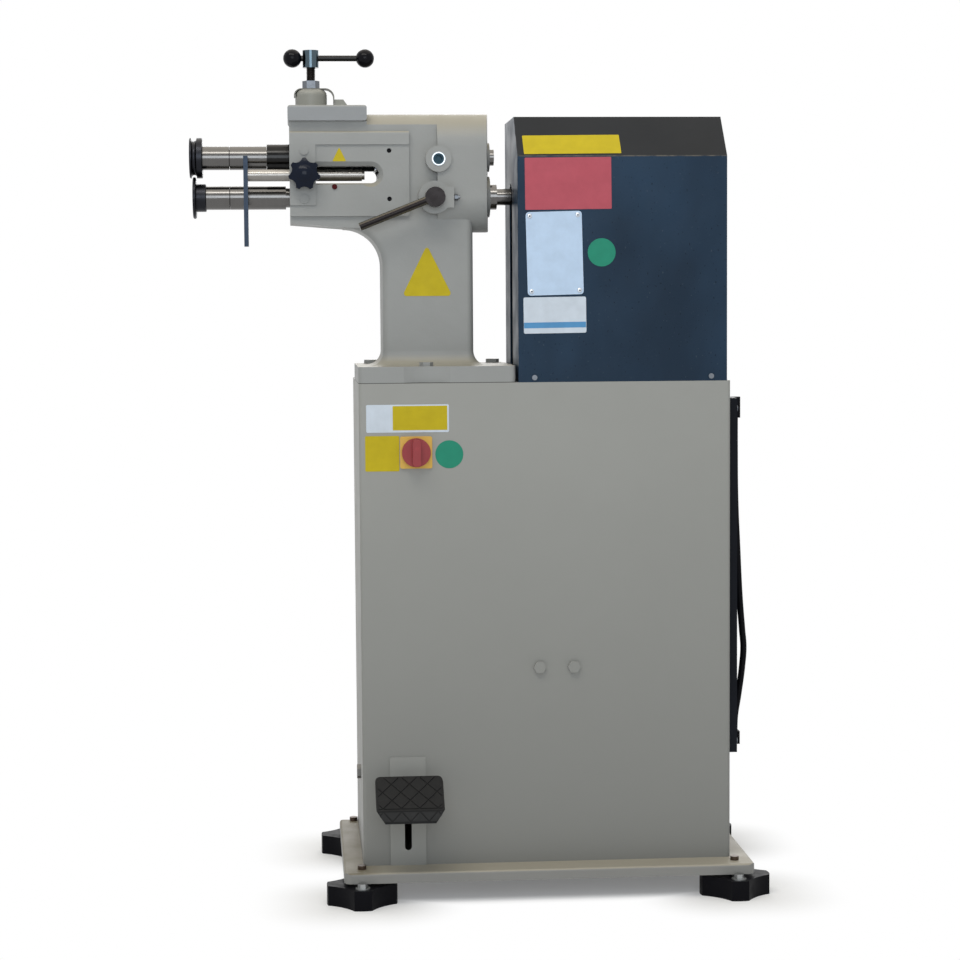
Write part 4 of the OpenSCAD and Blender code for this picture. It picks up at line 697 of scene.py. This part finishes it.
# Pressure screw with its thread, which starts and ends a little inside. Sizes in mm
SCREW_SIDES, STEP, PITCH, RUN_OUT = 40, 0.25, 2.0, 1.0
NECK_R, SHOULDER_R, THREAD_R, THREAD_DEPTH, END_R = 4.0, 6.4, 6.95, 1.15, 6.9
low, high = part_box("pressure_screw")
axis_x, axis_y = (low[0] + high[0]) / 2, (low[1] + high[1]) / 2
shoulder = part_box("thrust_foot")[1][2]
thread_start = shoulder + RUN_OUT * MM
thread_steps = int((high[2] - shoulder - 2 * RUN_OUT * MM) / (STEP * MM))


def thread_radius(i, k):
    """Radius at a step along the screw and a side of it."""
    phase = (i * STEP / PITCH - k / SCREW_SIDES) % 1.0
    return THREAD_R - THREAD_DEPTH * (1 - abs(2 * phase - 1))


rings = [(low[2], [NECK_R] * SCREW_SIDES), (shoulder, [NECK_R] * SCREW_SIDES),
         (shoulder, [SHOULDER_R] * SCREW_SIDES)]
for i in range(thread_steps + 1):
    rings.append((thread_start + i * STEP * MM, [thread_radius(i, k) for k in range(SCREW_SIDES)]))
rings.append((high[2], [END_R] * SCREW_SIDES))
verts = [(axis_x + r * MM * u, axis_y + r * MM * v, z)
         for z, radii in rings for r, (u, v) in zip(radii, circle(1.0, SCREW_SIDES))]
faces = quads(len(rings), SCREW_SIDES)
faces.append(tuple(reversed(range(SCREW_SIDES))))
faces.append(tuple(range(len(verts) - SCREW_SIDES, len(verts))))
screw = piece("threaded_screw", verts, faces, "pressure_screw", "screw_steel", "dark_steel", True)
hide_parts("pressure_screw")

# Lead between its two clips, as one smooth round curve: out from the wall and up, in mm
LEAD_R = 5.0
LEAD_X, LEAD_Y, LEAD_Z = 297.6, 60, 160
ROUTE = [(0, 530), (0, 460), (1, 380), (4, 310), (8, 230), (12, 180), (14, 155), (12, 125),
         (6, 80), (1, 48), (0, 28), (0, 15)]
curve = bpy.data.curves.new("lead", "CURVE")
curve.dimensions = "3D"
curve.bevel_depth = LEAD_R * MM
curve.bevel_resolution = 6
curve.use_fill_caps = True
spline = curve.splines.new("BEZIER")
spline.bezier_points.add(len(ROUTE) - 1)
for point, (out, up) in zip(spline.bezier_points, ROUTE):
    point.co = place(LEAD_X + out, LEAD_Y, LEAD_Z + up)
    point.handle_left_type = point.handle_right_type = "AUTO"
curve.materials.append(M["black_plastic"])
lead = bpy.data.objects.new("lead", curve)
SCENE.collection.objects.link(lead)
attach(lead, "base")
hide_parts("side_lead")


# Stage

def background_rays(net):
    """1 for the rays that see the plain background."""
    path = add(net, "ShaderNodeLightPath")
    total = path.outputs["Is Camera Ray"]
    for other in ("Is Glossy Ray", "Is Transmission Ray"):
        total = compute(net, "MAXIMUM", total, path.outputs[other])
    return total


def mixed(net, factor, a, b):
    """A mix of two shaders' first outputs."""
    node = add(net, "ShaderNodeMixShader")
    for socket, source in zip(node.inputs, (factor, a.outputs[0], b.outputs[0])):
        net.links.new(source, socket)
    return node.outputs[0]


# How white the floor is right under the object, where its shadow shows
SHADOW_SHARE = 0.17


def away(net, at, centre, half, wide):
    """How white the floor is outside a box about a point: fully, once it is wide away."""
    offset = vector(net, "SUBTRACT", at, (*centre, 0.0))
    side = vector(net, "ABSOLUTE", offset.outputs[0])
    past = vector(net, "SUBTRACT", side.outputs[0], (*half, 0.0))
    outside = vector(net, "MAXIMUM", past.outputs[0])
    reach = vector(net, "LENGTH", outside.outputs[0])
    return grade(net, reach.outputs["Value"], SHADOW_SHARE, 1.0, 0.0, wide, "SMOOTHSTEP")


FLOOR = 9  # half its width in metres
mesh = bpy.data.meshes.new("floor")
mesh.from_pydata([(-FLOOR, -FLOOR, 0), (FLOOR, -FLOOR, 0), (FLOOR, FLOOR, 0), (-FLOOR, FLOOR, 0)],
                 [], [(0, 1, 2, 3)])
floor = bpy.data.objects.new("floor", mesh)
SCENE.collection.objects.link(floor)

# The floor is white away from the object and keeps its shadow under the pan and round the feet
PAN_INSET, PAN_FADE = 0.05, 0.062
FOOT_INSET, FOOT_HALF, FOOT_FADE = 0.052, 0.03, 0.14
net, shader = material("pale_floor")
shader.inputs["Base Color"].default_value = (0.86, 0.86, 0.86, 1.0)
shader.inputs["Roughness"].default_value = 0.9
on_floor = add(net, "ShaderNodeNewGeometry").outputs["Position"]
pan_half = [(PAN[1][axis] - PAN[0][axis]) / 2 - PAN_INSET for axis in (0, 1)]
seen = away(net, on_floor, (middle(PAN, 0), middle(PAN, 1)), pan_half, PAN_FADE)
for x in (FEET[0][0] + FOOT_INSET, FEET[1][0] - FOOT_INSET):
    for y in (FEET[0][1] + FOOT_INSET, FEET[1][1] - FOOT_INSET):
        foot = away(net, on_floor, (x, y), (FOOT_HALF, FOOT_HALF), FOOT_FADE)
        seen = compute(net, "MINIMUM", seen, foot)
share = compute(net, "MULTIPLY", seen, background_rays(net))
glow = add(net, "ShaderNodeEmission", Strength=1.0)
net.links.new(mixed(net, share, shader, glow), net.nodes["Material Output"].inputs["Surface"])
mesh.materials.append(M["pale_floor"])

# Light
SCENE.world = bpy.data.worlds.new("studio")
SCENE.world.use_nodes = True
net = SCENE.world.node_tree
net.nodes.clear()
soft = add(net, "ShaderNodeBackground", Color=(0.88, 0.94, 1.0, 1.0), Strength=0.38)
white = add(net, "ShaderNodeBackground", Color=(1.0, 1.0, 1.0, 1.0), Strength=1.0)
out = add(net, "ShaderNodeOutputWorld")
net.links.new(mixed(net, background_rays(net), soft, white), out.inputs["Surface"])


def lamp(name, at, target, wide, high, power, color=(1.0, 1.0, 1.0)):
    """An area lamp that looks at a point."""
    light = bpy.data.lights.new(name, "AREA")
    light.shape = "RECTANGLE"
    light.energy = power
    light.size = wide
    light.size_y = high
    light.color = color
    obj = bpy.data.objects.new(name, light)
    obj.location = at
    obj.rotation_euler = (Vector(target) - Vector(at)).to_track_quat("-Z", "Y").to_euler()
    SCENE.collection.objects.link(obj)


lamp("key", (-0.7, -1.75, 3.35), (-0.1, 0.0, 0.95), 2.8, 0.7, 42.0, (1.0, 0.96, 0.89))
lamp("front", (-0.3, -4.3, 1.75), (0.0, 0.0, 0.9), 2.4, 1.7, 44.0, (0.86, 0.93, 1.0))
lamp("top", (0.0, 0.3, 3.6), (0.0, 0.0, 0.6), 4.0, 4.0, 52.0, (1.0, 0.90, 0.74))
lamp("back", (0.5, 3.8, 2.3), (0.0, 0.0, 0.7), 2.2, 2.2, 34.0)

# Camera at the photograph's place, with its focal length in pixels of the picture
PICTURE, FOCAL, SENSOR = 960, 2359.6, 36.0
yaw, pitch, roll = math.radians(4.471), math.radians(-4.369), math.radians(-0.400)
ahead = Vector((math.sin(yaw) * math.cos(pitch), math.cos(yaw) * math.cos(pitch), math.sin(pitch)))
level = Vector((math.cos(yaw), -math.sin(yaw), 0.0))
upright = level.cross(ahead)
right = math.cos(roll) * level + math.sin(roll) * upright
up = math.cos(roll) * upright - math.sin(roll) * level
lens = bpy.data.cameras.new("camera")
lens.sensor_fit = "HORIZONTAL"
lens.sensor_width = SENSOR
lens.lens = SENSOR * FOCAL / PICTURE
lens.clip_end = 50.0
camera = bpy.data.objects.new("camera", lens)
camera.matrix_world = Matrix((right, up, -ahead)).transposed().to_4x4()
camera.location = place(-374.3, -3513.5, 851.7)
SCENE.collection.objects.link(camera)
SCENE.camera = camera
SCENE.view_settings.view_transform = "Standard"
